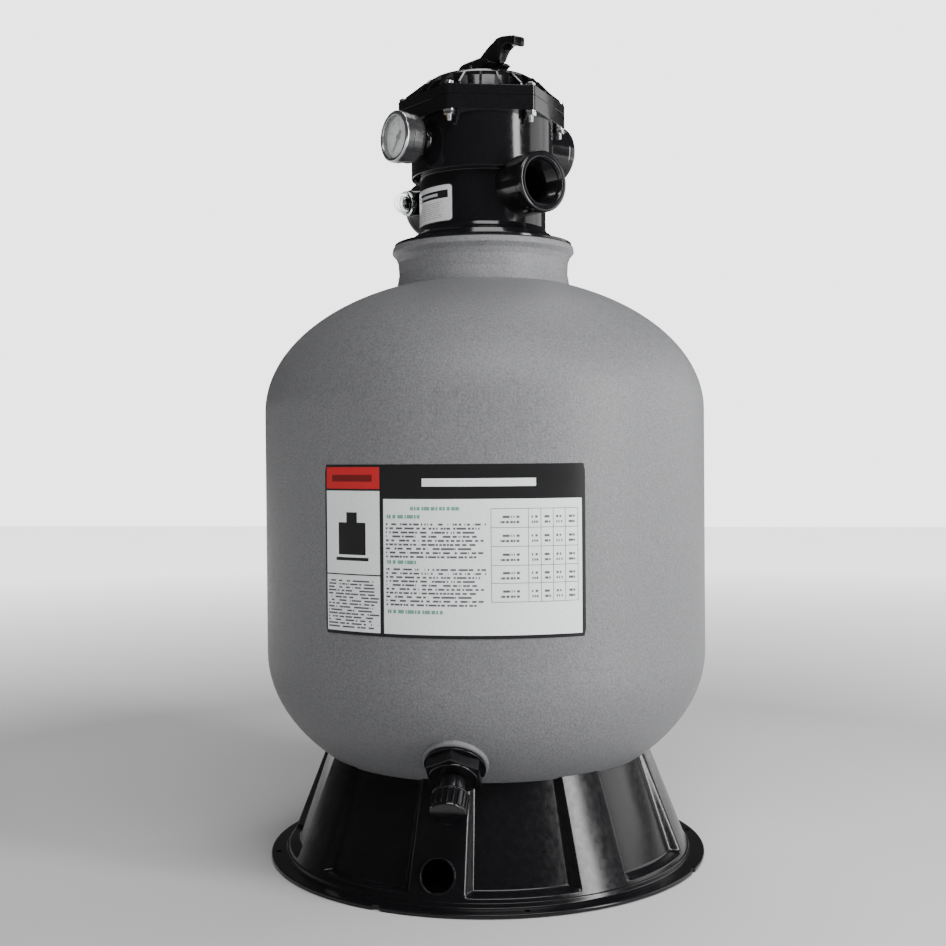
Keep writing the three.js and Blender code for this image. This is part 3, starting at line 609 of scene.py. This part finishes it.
def base_pieces():
    pitch = 360 / RIB_COUNT
    near_wall = [RIB_HALF - 0.4 + 0.2 * k for k in range(17)]
    far = [RIB_HALF + RIB_WALL + 1.2 + (pitch / 2 - RIB_HALF - RIB_WALL - 1.2) * k / 8 for k in range(9)]
    half = [0, 1.8, 3.6, 5.2, 6.2] + near_wall + far
    offsets = [-a for a in reversed(half[1:-1])] + half
    levels = [2, BAND_Z - 2, BAND_Z, 11, 11.8, 12.4, 13, 13.6, 14.2, 14.8, 15.6, 17, 22, 35, 50, 65, 80,
              95, 108, 118]
    azimuths = [(RIB_TURN + k * pitch + a, a) for k in range(RIB_COUNT) for a in offsets]
    points = []
    for wall, zs in ((0, levels), (SKIRT_WALL, levels[::-1])):
        for z in zs:
            for azimuth, offset in azimuths:
                points.append((*towards(azimuth, skirt_radius(offset, z) - wall), z))
    across, rows = len(azimuths), 2 * len(levels)
    faces = []
    for row in range(rows):
        below, above = row * across, ((row + 1) % rows) * across
        for k in range(across):
            n = (k + 1) % across
            faces.append((below + k, below + n, above + n, above + k))
    skirt = make("skirt", points, faces, sharp=60)
    seat = lathe("seat", ellipse(TANK_R + 0.3, DOME_H + 0.3, DOME_Z, -90, 0, 28) + [(0, DOME_Z)],
                 segments=192)
    hose = lathe("hose", [(0, -25), (16, -25), (16, 25), (0, 25)], HOSE, 64)
    boolean(skirt, [seat, hose], sharp=60)
    lip = lathe("lip", rounded([(15.3, -3.5, 0), (17.4, -3.5, 0), (17.2, 0.9, 0.9), (15.3, 0.9, 0.9)], 6),
                HOSE, 64)
    flange = lathe("flange", rounded([
        (203, 0.2, 0), (226.5, 0.2, 0.8), (226.5, 4, 1.6), (211.5, 4.2, 1.6), (210.5, BAND_Z, 1.4),
        (203, BAND_Z, 0.5),
    ]), segments=192)
    holes = []
    for k in range(4):
        x, y = towards(ANCHOR_TURN + 90 * k, 219)
        holes.append(lathe(f"hole_{k}", [(0, -2), (3.2, -2), (3.2, 8), (0, 8)],
                           Matrix.Translation((x, y, 0)), 32))
        x, y = towards(NOTCH_TURN + 90 * k, 228)
        holes.append(lathe(f"notch_{k}", [(0, -2), (5, -2), (5, 8), (0, 8)],
                           Matrix.Translation((x, y, 0)), 32))
    boolean(flange, holes, sharp=40)
    return [skirt, lip, flange]


dress(merged("base", base_pieces()), "black_satin", nodes=["base_skirt"])


# ---------------------------------------------------------------- valve body
PARTING_Z = 772
HEX_R, HEX_TURN = 88.5, 15
BODY_HEX_Z = 757
LID_HEX_Z = 781.5
PORTS = {"return": (47, 685, 98), "pump": (137, 741, 105), "waste": (227, 685, 100)}
PORT_R, PORT_BORE_R = 30.5, 22
GAUGE = outward(-45, 0, 0, 733)  # heights in this frame are distances from the tank's axis
SIGHT_FACE = 42
SIGHT = outward(-43, *towards(227, 76), 689, 6)


def port_tube(name, azimuth, z, reach):
    """A pipe stub with a threaded-looking bore and a rolled rim."""
    threads = []
    for k in range(9):
        at = reach - 4 - k * 2
        threads += [(PORT_BORE_R + 0.3, at), (PORT_BORE_R - 0.5, at - 1)]
    profile = rounded([
        (PORT_R - 1, 30, 0), (PORT_R, 60, 0), (PORT_R, reach - 9, 0.5), (PORT_R + 0.3, reach - 8, 0.5),
        (PORT_R + 0.3, reach, 3), (PORT_BORE_R + 2.6, reach, 1.2), (PORT_BORE_R + 0.6, reach - 2.5, 0.5),
    ]) + threads + [(PORT_BORE_R - 2, reach - 24), (PORT_BORE_R - 2, 45), (PORT_R - 1, 45)]
    return lathe(name, profile, outward(azimuth, 0, 0, z), 96, sharp=30)


def make_valve():
    shell = lathe("valve_shell", rounded([
        (0, 600, 0), (72, 600, 1), (72, 629.8, 0.3), (93, 629.8, 0.8), (93, 633, 1.2), (75, 634, 2.5),
        (72.6, 641, 3), (67.6, 644, 2.5), (66, 648, 4), (66, 701, 1), (74, 701.5, 0.4), (74.6, 702.3, 0.4),
        (74.6, BODY_HEX_Z + 6, 0), (0, BODY_HEX_Z + 6, 0),
    ], 6), segments=160, sharp=40)
    bores = []
    for name, (azimuth, z, reach) in PORTS.items():
        bore = [(0, 45), (PORT_BORE_R - 2, 45), (PORT_BORE_R - 2, 110), (0, 110)]
        bores.append(lathe(f"bore_{name}", bore, outward(azimuth, 0, 0, z), 64))
    boolean(shell, bores, sharp=40)
    tubes = [port_tube(f"tube_{name}", *values) for name, values in PORTS.items()]
    flange = prism("valve_flange", rounded_polygon(6, HEX_R, HEX_TURN, 5), BODY_HEX_Z, PARTING_Z - 0.3,
                   bevel=0.25)
    gauge_boss = lathe("gauge_boss", rounded([(0, 60, 0), (15.5, 60, 0), (13.4, 75, 2), (12.6, 78, 1),
        (0, 78, 0)]),
                       GAUGE, 64)
    sight_boss = lathe("sight_boss", rounded([
        (0, 5, 0), (14.4, 5, 0), (14, SIGHT_FACE, 1.6), (8, SIGHT_FACE, 0.4), (8, SIGHT_FACE - 8, 0),
        (0, SIGHT_FACE - 8, 0),
    ]), SIGHT, 64)
    seam = prism("seam", [(-0.9, -0.6), (0.9, -0.6), (0.9, 0.45), (-0.9, 0.45)], 653, 692,
                 Matrix.Rotation(math.radians(-18), 4, "Z") @ Matrix.Translation((0, -66, 0)), bevel=0.3)
    item = merged("valve_shell", [shell, *tubes, flange, gauge_boss, sight_boss, seam])
    dress(item, "black_gloss", nodes=["valve_body"])


make_valve()


def make_sticker():
    sheet = curved_sheet("valve_sticker_print", 66.3, 0.4, 32.2, 18, 3.2, -47.25, 668.5, (48, 24))
    dress(sheet, "paper", nodes=["valve_sticker"], material=STICKER)
    # A dark rubber sheet a little larger than the sticker shows as a dark rim round it: the sticker's
    # edge, and painted shade along its border.
    sticker_rim_and_shade = curved_sheet("valve_sticker_edge_and_shade", 66.02, 0.26, 33.2, 19, 4.0, -47.25, 668.5, (48, 24))
    dress(sticker_rim_and_shade, "rubber")


make_sticker()


# ---------------------------------------------------------------- lid
LID_RIBS = 24
LID_RIB_HALF = 1.3


def lid_rib(k):
    azimuth = (k + 0.5) * 360 / LID_RIBS
    from_flat = ((((azimuth - HEX_TURN) % 60) + 90) % 60) - 30
    reach = HEX_R * math.cos(math.radians(30)) / math.cos(math.radians(from_flat)) - 1.4
    outline = rounded([(52, 780, 0), (reach, 780, 0), (reach, LID_HEX_Z + 2.5, 1.5), (61.4, 799.6, 2),
        (52, 799.6, 0)])
    turn = Matrix.Rotation(math.radians(azimuth - 90), 4, "Z") @ Matrix.Rotation(math.pi / 2, 4, "X")
    return prism(f"rib_{k}", outline, -LID_RIB_HALF, LID_RIB_HALF, turn, bevel=0.3)


def make_lid():
    dome = lathe("dome", rounded([
        (9.4, 790, 0), (55, 790, 0), (62, LID_HEX_Z - 2, 0), (63.8, LID_HEX_Z, 1.5), (61, 795.5, 3),
        (59, 800, 4),
        (52, 804.2, 10), (40, 807.7, 14), (26, 810.3, 8), (24, 811.2, 0.5), (9.4, 811.2, 0.5),
    ], 6), segments=160, sharp=40)
    flange = prism("lid_flange", rounded_polygon(6, HEX_R, HEX_TURN, 5), PARTING_Z, LID_HEX_Z, bevel=0.25)
    item = merged("valve_lid", [dome, flange, *[lid_rib(k) for k in range(LID_RIBS)]])
    dress(item, "black_gloss", nodes=["lid"])


make_lid()


BOLT_RING_R = 81.7
BOLT_R, THREAD_ROOT_R = 3.0, 2.55


def make_bolts():
    for k in range(6):
        x, y = towards(HEX_TURN + 30 + 60 * k, BOLT_RING_R)
        place = Matrix.Translation((x, y, 0))
        head = prism("head", polygon(6, 5.4, 20 * k), LID_HEX_Z + 0.3, LID_HEX_Z + 3.4, place, bevel=0.5)
        threads = [(BOLT_R if step % 2 else THREAD_ROOT_R, 756.5 - step * 0.55) for step in range(19)]
        shank = lathe("shank", [(0, 782), (3, 782), (3, 757)] + threads + [(2, 745.8), (0, 745.8)], place,
                      32)
        bolt = merged(f"bolt_{k + 1}", [head, shank])
        dress(bolt, "steel", nodes=[f"lid_bolt_{k + 1}"])
        nut = prism("nut", rounded_polygon(6, 5.7, 13 * k, 0.3), BODY_HEX_Z - 5.3, BODY_HEX_Z - 1.2,
                    place, bevel=0.6)
        washer = lathe("washer", [(3.2, BODY_HEX_Z - 1.2), (5.9, BODY_HEX_Z - 1.2),
                                  (5.9, BODY_HEX_Z - 0.3),
                                  (3.2, BODY_HEX_Z - 0.3)], place, 32)
        dress(merged(f"nut_{k + 1}", [nut, washer]), "steel", nodes=[f"lid_nut_{k + 1}"])


make_bolts()


# ---------------------------------------------------------------- handle
PIN_Z = 818
# Side outlines are (along the lever, above the pin, corner radius); plans are (along, across, radius).
HANDLE = Matrix.Translation((0, 0, PIN_Z)) @ Matrix.Rotation(math.radians(47 - 90), 4, "Z")
LEVER_SIDE = [
    (-3, 9, 1), (6, 14.6, 6), (11.5, 17.8, 6), (18, 20.8, 4), (23, 22.4, 3), (28, 25, 2), (32, 25, 4),
    (60, 19.8, 2), (62, 18, 1), (62, 11.4, 1), (60.5, 10.2, 1), (55.5, 11.2, 4), (51, 13.6, 4),
    (46, 13.6, 4),
    (41, 11, 3), (38, 7.2, 3), (35.5, 2, 3), (34, -1.5, 1), (24, -3.5, 0), (-3, -3.5, 0),
]
HUB_SIDE = [
    (-21, -5, 1), (19, -5, 1), (24, -3.5, 1), (30, -1, 1), (24, 3, 3), (14, 6.6, 4), (6, 8.8, 3),
    (-7, 8.8, 5),
    (-15, 7.4, 5), (-20, 2.6, 4),
]
HUB_END = [
    (-15, -6, 0), (15, -6, 0), (15, 4.6, 4), (11, 7.8, 5), (0, 9, 6), (-11, 7.8, 5), (-15, 4.6, 4),
]
GRIP_PLAN = [(26, -2, 0), (46, -8, 4), (64, -8, 0), (64, 8, 0), (46, 8, 4), (26, 2, 0)]


ACROSS_LEVER = HANDLE @ Matrix.Rotation(math.pi / 2, 4, "X")
ALONG_LEVER = HANDLE @ Matrix.Rotation(math.pi / 2, 4, "Z") @ Matrix.Rotation(math.pi / 2, 4, "X")


def side_slab(name, outline, half_width):
    return prism(name, rounded(outline), -half_width, half_width, ACROSS_LEVER)


def tongue_slot():
    """The room inside the handle for the stem's tongue."""
    return prism("slot", [(-10, -6.4), (10, -6.4), (10, 6.4), (-10, 6.4)], -9.4, 7, HANDLE)


def make_handle():
    hub = side_slab("hub", HUB_SIDE, 16)
    boolean(hub, [prism("hub_end", rounded(HUB_END), -25, 32, ALONG_LEVER)], "INTERSECT")
    boolean(hub, [tongue_slot(), lathe("hole", [(0, -20), (2.8, -20), (2.8, 20), (0, 20)], ACROSS_LEVER,
                                       32)])
    ease(hub, 0.7, 3)
    web = side_slab("web", LEVER_SIDE, 3.2)
    boolean(web, [tongue_slot()])
    ease(web, 0.9, 3)
    grip = side_slab("grip", LEVER_SIDE, 7)
    plan = prism("plan", rounded(GRIP_PLAN), 0, 40, HANDLE)
    boolean(grip, [plan], "INTERSECT")
    ease(grip, 1.6, 4)
    item = merged("handle_lever", [hub, web, grip])
    dress(item, "black_gloss", "handle", ["handle"])


make_handle()
dress(lathe("lever_pin", rounded([(0, -14.7, 0), (2.5, -14.7, 0.7), (2.5, 14.7, 0.7), (0, 14.7, 0)]),
            ACROSS_LEVER, 48), "steel", "diverter", ["handle_pin"])
dress(lathe("lever_washer", rounded([(10, 811.5, 0.3), (22, 811.5, 0.3), (22, 812.7, 0.3),
    (10, 812.7, 0.3)]),
            None, 96), "black_satin", "selector", ["handle_washer"])


# ---------------------------------------------------------------- pressure gauge
GAUGE_R = 24.6
SWEEP = 270  # degrees from one end of the scale to the other
DIAL_Z, MARK_END, FIGURE_R = 104, 19.4, 13


def make_gauge():
    case = lathe("gauge_can", rounded([
        (1.7, 87, 0), (GAUGE_R - 1, 87, 2.2), (GAUGE_R, 91, 0.6), (GAUGE_R, 108.5, 0.2),
        (GAUGE_R - 1.2, 108.5, 0.2),
        (GAUGE_R - 1.2, 90, 1), (1.7, 90, 0),
    ], 6), GAUGE, 128)
    dress(case, "case_grey", nodes=["gauge_case"])
    band = lathe("gauge_band", rounded([
        (GAUGE_R + 0.25, 101, 0), (GAUGE_R + 0.9, 101, 0.3), (GAUGE_R + 1.1, 102, 0.3),
        (GAUGE_R + 1.1, 108.2, 0),
        (GAUGE_R + 0.25, 108.2, 0),
    ]), GAUGE, 128)
    dress(band, "case_grey")
    bezel = lathe("gauge_ring", rounded([
        (GAUGE_R + 0.25, 108.3, 0), (GAUGE_R + 1.1, 108.3, 0.2), (GAUGE_R + 1.1, 109.6, 0.6),
        (GAUGE_R - 0.4, 111, 1.2),
        (21.4, 110.6, 0.5), (21, 109, 0.3), (GAUGE_R + 0.25, 109, 0),
    ], 6), GAUGE, 128)
    dress(bezel, "silver", nodes=["gauge_bezel"])
    dial = lathe("gauge_face", rounded([(1.7, 103, 0), (22.4, 103, 0.2), (22.4, 104, 0.3),
        (1.7, 104, 0)]), GAUGE, 96)
    dress(dial, "paper", nodes=["gauge_dial"])
    lens = lathe("gauge_window", rounded([(0, 107, 0), (22.5, 107, 0.2), (22.5, 108.4, 0.3),
        (0, 108.4, 0)]), GAUGE, 96)
    dress(lens, "clear", nodes=["gauge_lens"], material=WINDOW)
    marks = []
    for k in range(41):
        turn = math.radians(-SWEEP / 2 + SWEEP * k / 40)
        long = 3.6 if k % 10 == 0 else 2.6 if k % 5 == 0 else 1.6
        wide = 0.42 if k % 5 == 0 else 0.22
        outline = [(-wide, MARK_END - long), (wide, MARK_END - long), (wide, MARK_END), (-wide, MARK_END)]
        place = GAUGE @ Matrix.Rotation(-turn, 4, "Z")
        marks.append(prism("mark", outline, DIAL_Z + 0.01, DIAL_Z + 0.1, place))
    for k in range(5):
        turn = math.radians(-SWEEP / 2 + SWEEP * k / 4)
        marks.append(numeral(str(k), FIGURE_R * math.sin(turn), FIGURE_R * math.cos(turn)))
    dress(merged("gauge_marks", marks), "needle_paint")
    stem = prism("stem_hex", rounded_polygon(6, 8, 0, 0.6), 79, 85, GAUGE, bevel=0.5)
    neck = lathe("stem_neck", rounded([(0, 70, 0), (6.4, 70, 0), (6.4, 80, 0), (5, 84, 0.3),
        (5, 86.7, 0.2), (0, 86.7, 0)]),
                 GAUGE, 48)
    dress(merged("gauge_foot", [stem, neck]), "brass", nodes=["gauge_stem"])


def numeral(text, x, y):
    """A figure on the dial, as a thin raised print."""
    curve = bpy.data.curves.new("figure", "FONT")
    curve.body = text
    curve.size = 4.6
    curve.align_x, curve.align_y = "CENTER", "CENTER"
    curve.extrude = 0.05
    figure = bpy.data.objects.new("figure", curve)
    bpy.context.scene.collection.objects.link(figure)
    graph = bpy.context.evaluated_depsgraph_get()
    mesh = bpy.data.meshes.new_from_object(figure.evaluated_get(graph))
    bpy.data.objects.remove(figure)
    place = GAUGE @ Matrix.Translation((x, y, DIAL_Z + 0.05))
    for vertex in mesh.vertices:
        vertex.co = (place @ vertex.co) * MM + AXIS
    item = bpy.data.objects.new("figure", mesh)
    bpy.context.scene.collection.objects.link(item)
    return item


def make_needle():
    turn = GAUGE @ Matrix.Rotation(math.radians(142), 4, "Z")
    blade = prism("blade", [(-1.1, 0), (-1.8, -7.5), (1.8, -7.5), (1.1, 0), (0.45, 16.5), (-0.45, 16.5)],
                  105, 105.8, turn, bevel=0.15)
    hub = lathe("needle_hub", rounded([(0, 104.6, 0), (2.6, 104.6, 0.3), (2.6, 106.4, 0.6),
        (0, 106.4, 0)]), GAUGE, 48)
    pin = lathe("needle_pin", [(0, 97), (1.1, 97), (1.1, 105), (0, 105)], GAUGE, 24)
    dress(merged("gauge_pointer", [blade, hub, pin]), "needle_paint", "needle", ["gauge_needle"])


make_gauge()
make_needle()


# ---------------------------------------------------------------- sight glass
def make_sight():
    foot = SIGHT_FACE + 5
    profile = [(5.5, SIGHT_FACE - 7.9), (7.5, SIGHT_FACE - 7.9)]
    profile += rounded([(7.5, SIGHT_FACE + 1.9, 0.4), (13, SIGHT_FACE + 1.9, 0.6),
        (13, SIGHT_FACE + 4.4, 0.8)])
    profile += ellipse(11.2, 12, foot, 6, 90, 16) + ellipse(9.2, 10, foot, 90, 0, 16)
    profile += [(5.5, SIGHT_FACE + 2)]
    dress(lathe("sight_dome", profile, SIGHT, 96), "clear", nodes=["sight_glass"])
    seal = lathe("sight_seal", rounded([
        (8.6, SIGHT_FACE + 0.3, 0.4), (12.4, SIGHT_FACE + 0.3, 0.5), (12.4, SIGHT_FACE + 1.6, 0.5),
        (8.6, SIGHT_FACE + 1.6, 0.4)]), SIGHT, 64)
    dress(seal, "rubber", nodes=["sight_glass_oring"])


make_sight()


# ---------------------------------------------------------------- drain
def make_drain():
    gasket = lathe("drain_seal", rounded([(17.6, -2.7, 0.4), (26.4, -2.7, 0.5), (26.4, 1.4, 0.7),
        (17.6, 1.4, 0.5)]),
                   DRAIN, 96)
    dress(gasket, "rubber", nodes=["drain_gasket"])
    hexagon = prism("plug_hex", rounded_polygon(6, 27.8, 30, 1.2), 2.6, 14, DRAIN, bevel=0.9)
    rim = lathe("plug_rim", rounded([(9, 1.5, 0), (28.6, 1.5, 0.6), (28.6, 3, 0.6), (9, 3, 0)]), DRAIN, 96)
    collar = lathe("plug_collar", rounded([(9, 13, 0), (22.6, 13, 0), (22.4, 16, 1.2), (9, 16, 0.5)]),
                   DRAIN, 96)
    shank = lathe("plug_shank", [(9, -22), (16.6, -22), (16.6, 2), (9, 2)], DRAIN, 64)
    dress(merged("drain_body", [hexagon, rim, collar, shank]), "black_gloss", nodes=["drain_plug"])
    nut = prism("nipple_hex", rounded_polygon(6, 12.1, 0, 0.8), 16.3, 30, DRAIN, bevel=0.7)
    turns = [(12.0 if step % 2 else 11.2, 31 + step) for step in range(18)]
    hose = lathe("nipple_hose", [(6, 0), (8.6, 0), (8.6, 16), (11.4, 17), (11.4, 30)] + turns + [(6, 49)],
                 DRAIN, 64)
    dress(merged("drain_spout", [nut, hose]), "black_gloss", nodes=["drain_nipple"])


def make_cap():
    grips = []
    for k in range(20):
        place = DRAIN @ Matrix.Rotation(math.radians(18 * k), 4, "Z") @ Matrix.Translation((16.4, 0, 0))
        grips.append(lathe(f"grip_{k}", rounded([(0, 34.5, 0), (1.0, 34.5, 0.4), (1.0, 50, 0.6),
            (0, 50, 0)]), place, 12))
    shell = lathe("cap_shell", rounded([
        (12.6, 32.2, 0.3), (17.2, 32.2, 0.8), (17.2, 34, 0.8), (16.3, 34.8, 0.5), (16.3, 49.5, 0.5),
        (17.2, 50.3, 0.8),
        (16.9, 53, 1.2), (0, 53, 0), (0, 50.6, 0), (12.6, 50.6, 0),
    ]), DRAIN, 96)
    dress(merged("drain_knob", [shell, *grips]), "black_gloss", "cap", ["drain_cap"])


make_drain()
make_cap()


# ---------------------------------------------------------------- CAD nodes that stay in view
def dress_frame():
    slots = {part["node"]: part["material_slot"] for part in frame["record"]["subparts"]}
    for name, node in frame["nodes"].items():
        node.data.materials.clear()
        node.data.materials.append(MATERIALS[slots[name]])


dress_frame()


# ---------------------------------------------------------------- studio
BACKDROP = 3.2  # how bright the studio looks
ROOM = 0.06  # how much it lights


def floor_material():
    """Pale matte floor that glows a little far from the object, where no lamp reaches."""
    material, tree, shader = new_material("floor_paint")
    tone = mix_colour(tree, ramp(tree, noise(tree, 3, 2.0), 0, 1), (0.72, 0.72, 0.72),
                      (0.705, 0.705, 0.705))
    tree.links.new(tone, shader.inputs["Base Color"])
    tree.links.new(tone, shader.inputs["Emission Color"])
    shader.inputs["Roughness"].default_value = 0.9
    distance = tree.nodes.new("ShaderNodeVectorMath")
    distance.operation = "LENGTH"
    tree.links.new(tree.nodes.new("ShaderNodeTexCoord").outputs["Object"], distance.inputs[0])
    far = Value(tree, distance.outputs["Value"]) * 0.4 - 0.35
    tree.links.new((far.clamped() * BACKDROP).socket, shader.inputs["Emission Strength"])
    return material


def panel(name, width, height, location, facing, material):
    """A flat rectangle for the floor or the backdrop."""
    mesh = bpy.data.meshes.new(name)
    w, h = width / 2, height / 2
    mesh.from_pydata([(-w, -h, 0), (w, -h, 0), (w, h, 0), (-w, h, 0)], [], [(0, 1, 2, 3)])
    item = bpy.data.objects.new(name, mesh)
    bpy.context.scene.collection.objects.link(item)
    item.location = location
    item.rotation_euler = facing
    item.data.materials.append(material)
    return item


def lamp(name, width, height, location, target, power):
    light = bpy.data.lights.new(name, "AREA")
    light.shape = "RECTANGLE"
    light.size, light.size_y = width, height
    light.energy = power
    item = bpy.data.objects.new(name, light)
    bpy.context.scene.collection.objects.link(item)
    item.location = location
    item.rotation_euler = (Vector(target) - Vector(location)).to_track_quat("-Z", "Y").to_euler()
    return item


def studio():
    panel("floor", 12, 12, (0, 0, -0.0006), (0, 0, 0), floor_material())
    world = bpy.data.worlds.new("studio")
    bpy.context.scene.world = world
    world.use_nodes = True
    tree = world.node_tree
    sky = tree.nodes["Background"]
    sky.inputs["Color"].default_value = (1, 1, 1, 1)
    rays = tree.nodes.new("ShaderNodeLightPath")
    seen = Value(tree, rays.outputs["Is Camera Ray"]).either(Value(tree,
        rays.outputs["Is Transmission Ray"]))
    tree.links.new((seen * (BACKDROP - ROOM) + ROOM).socket, sky.inputs["Strength"])
    lamp("key", 0.3, 1.4, (1.5, -0.72, 0.75), (0, 0, 0.5), 30)
    lamp("side", 0.9, 1.2, (1.84, 0.46, 0.8), (0, 0, 0.5), 8.5)
    lamp("front", 2.0, 0.9, (0.65, -1.6, 2.55), (0, 0, 0.4), 54)
    lamp("rear", 1.0, 1.2, (1.75, 1.45, 0.95), (0, 0, 0.6), 7)
    lamp("top", 1.4, 1.0, (0.1, 1.0, 2.6), (0, 0, 0.4), 17)


CAMERA_AZIMUTH = 8.5
CAMERA_DISTANCE, CAMERA_HEIGHT = 1.3866, 0.414
CAMERA_YAW, CAMERA_PITCH, CAMERA_ROLL = -0.0090, -0.0147, -0.0079


def camera():
    a = math.radians(CAMERA_AZIMUTH)
    data = bpy.data.cameras.new("camera")
    data.sensor_width = 36
    data.lens = 49.94
    item = bpy.data.objects.new("camera", data)
    bpy.context.scene.collection.objects.link(item)
    ahead = Vector((-math.sin(a), math.cos(a), 0))
    right = Vector((math.cos(a), math.sin(a), 0))
    up = Vector((0, 0, 1))
    look = ahead * math.cos(CAMERA_YAW) + right * math.sin(CAMERA_YAW)
    side = look.cross(up)
    view = look * math.cos(CAMERA_PITCH) + up * math.sin(CAMERA_PITCH)
    top = up * math.cos(CAMERA_PITCH) - look * math.sin(CAMERA_PITCH)
    side, top = (side * math.cos(CAMERA_ROLL) + top * math.sin(CAMERA_ROLL),
                 top * math.cos(CAMERA_ROLL) - side * math.sin(CAMERA_ROLL))
    matrix = Matrix((side, top, -view)).transposed().to_4x4()
    matrix.translation = AXIS - ahead * CAMERA_DISTANCE + up * CAMERA_HEIGHT
    item.matrix_world = matrix
    bpy.context.scene.camera = item


studio()
camera()
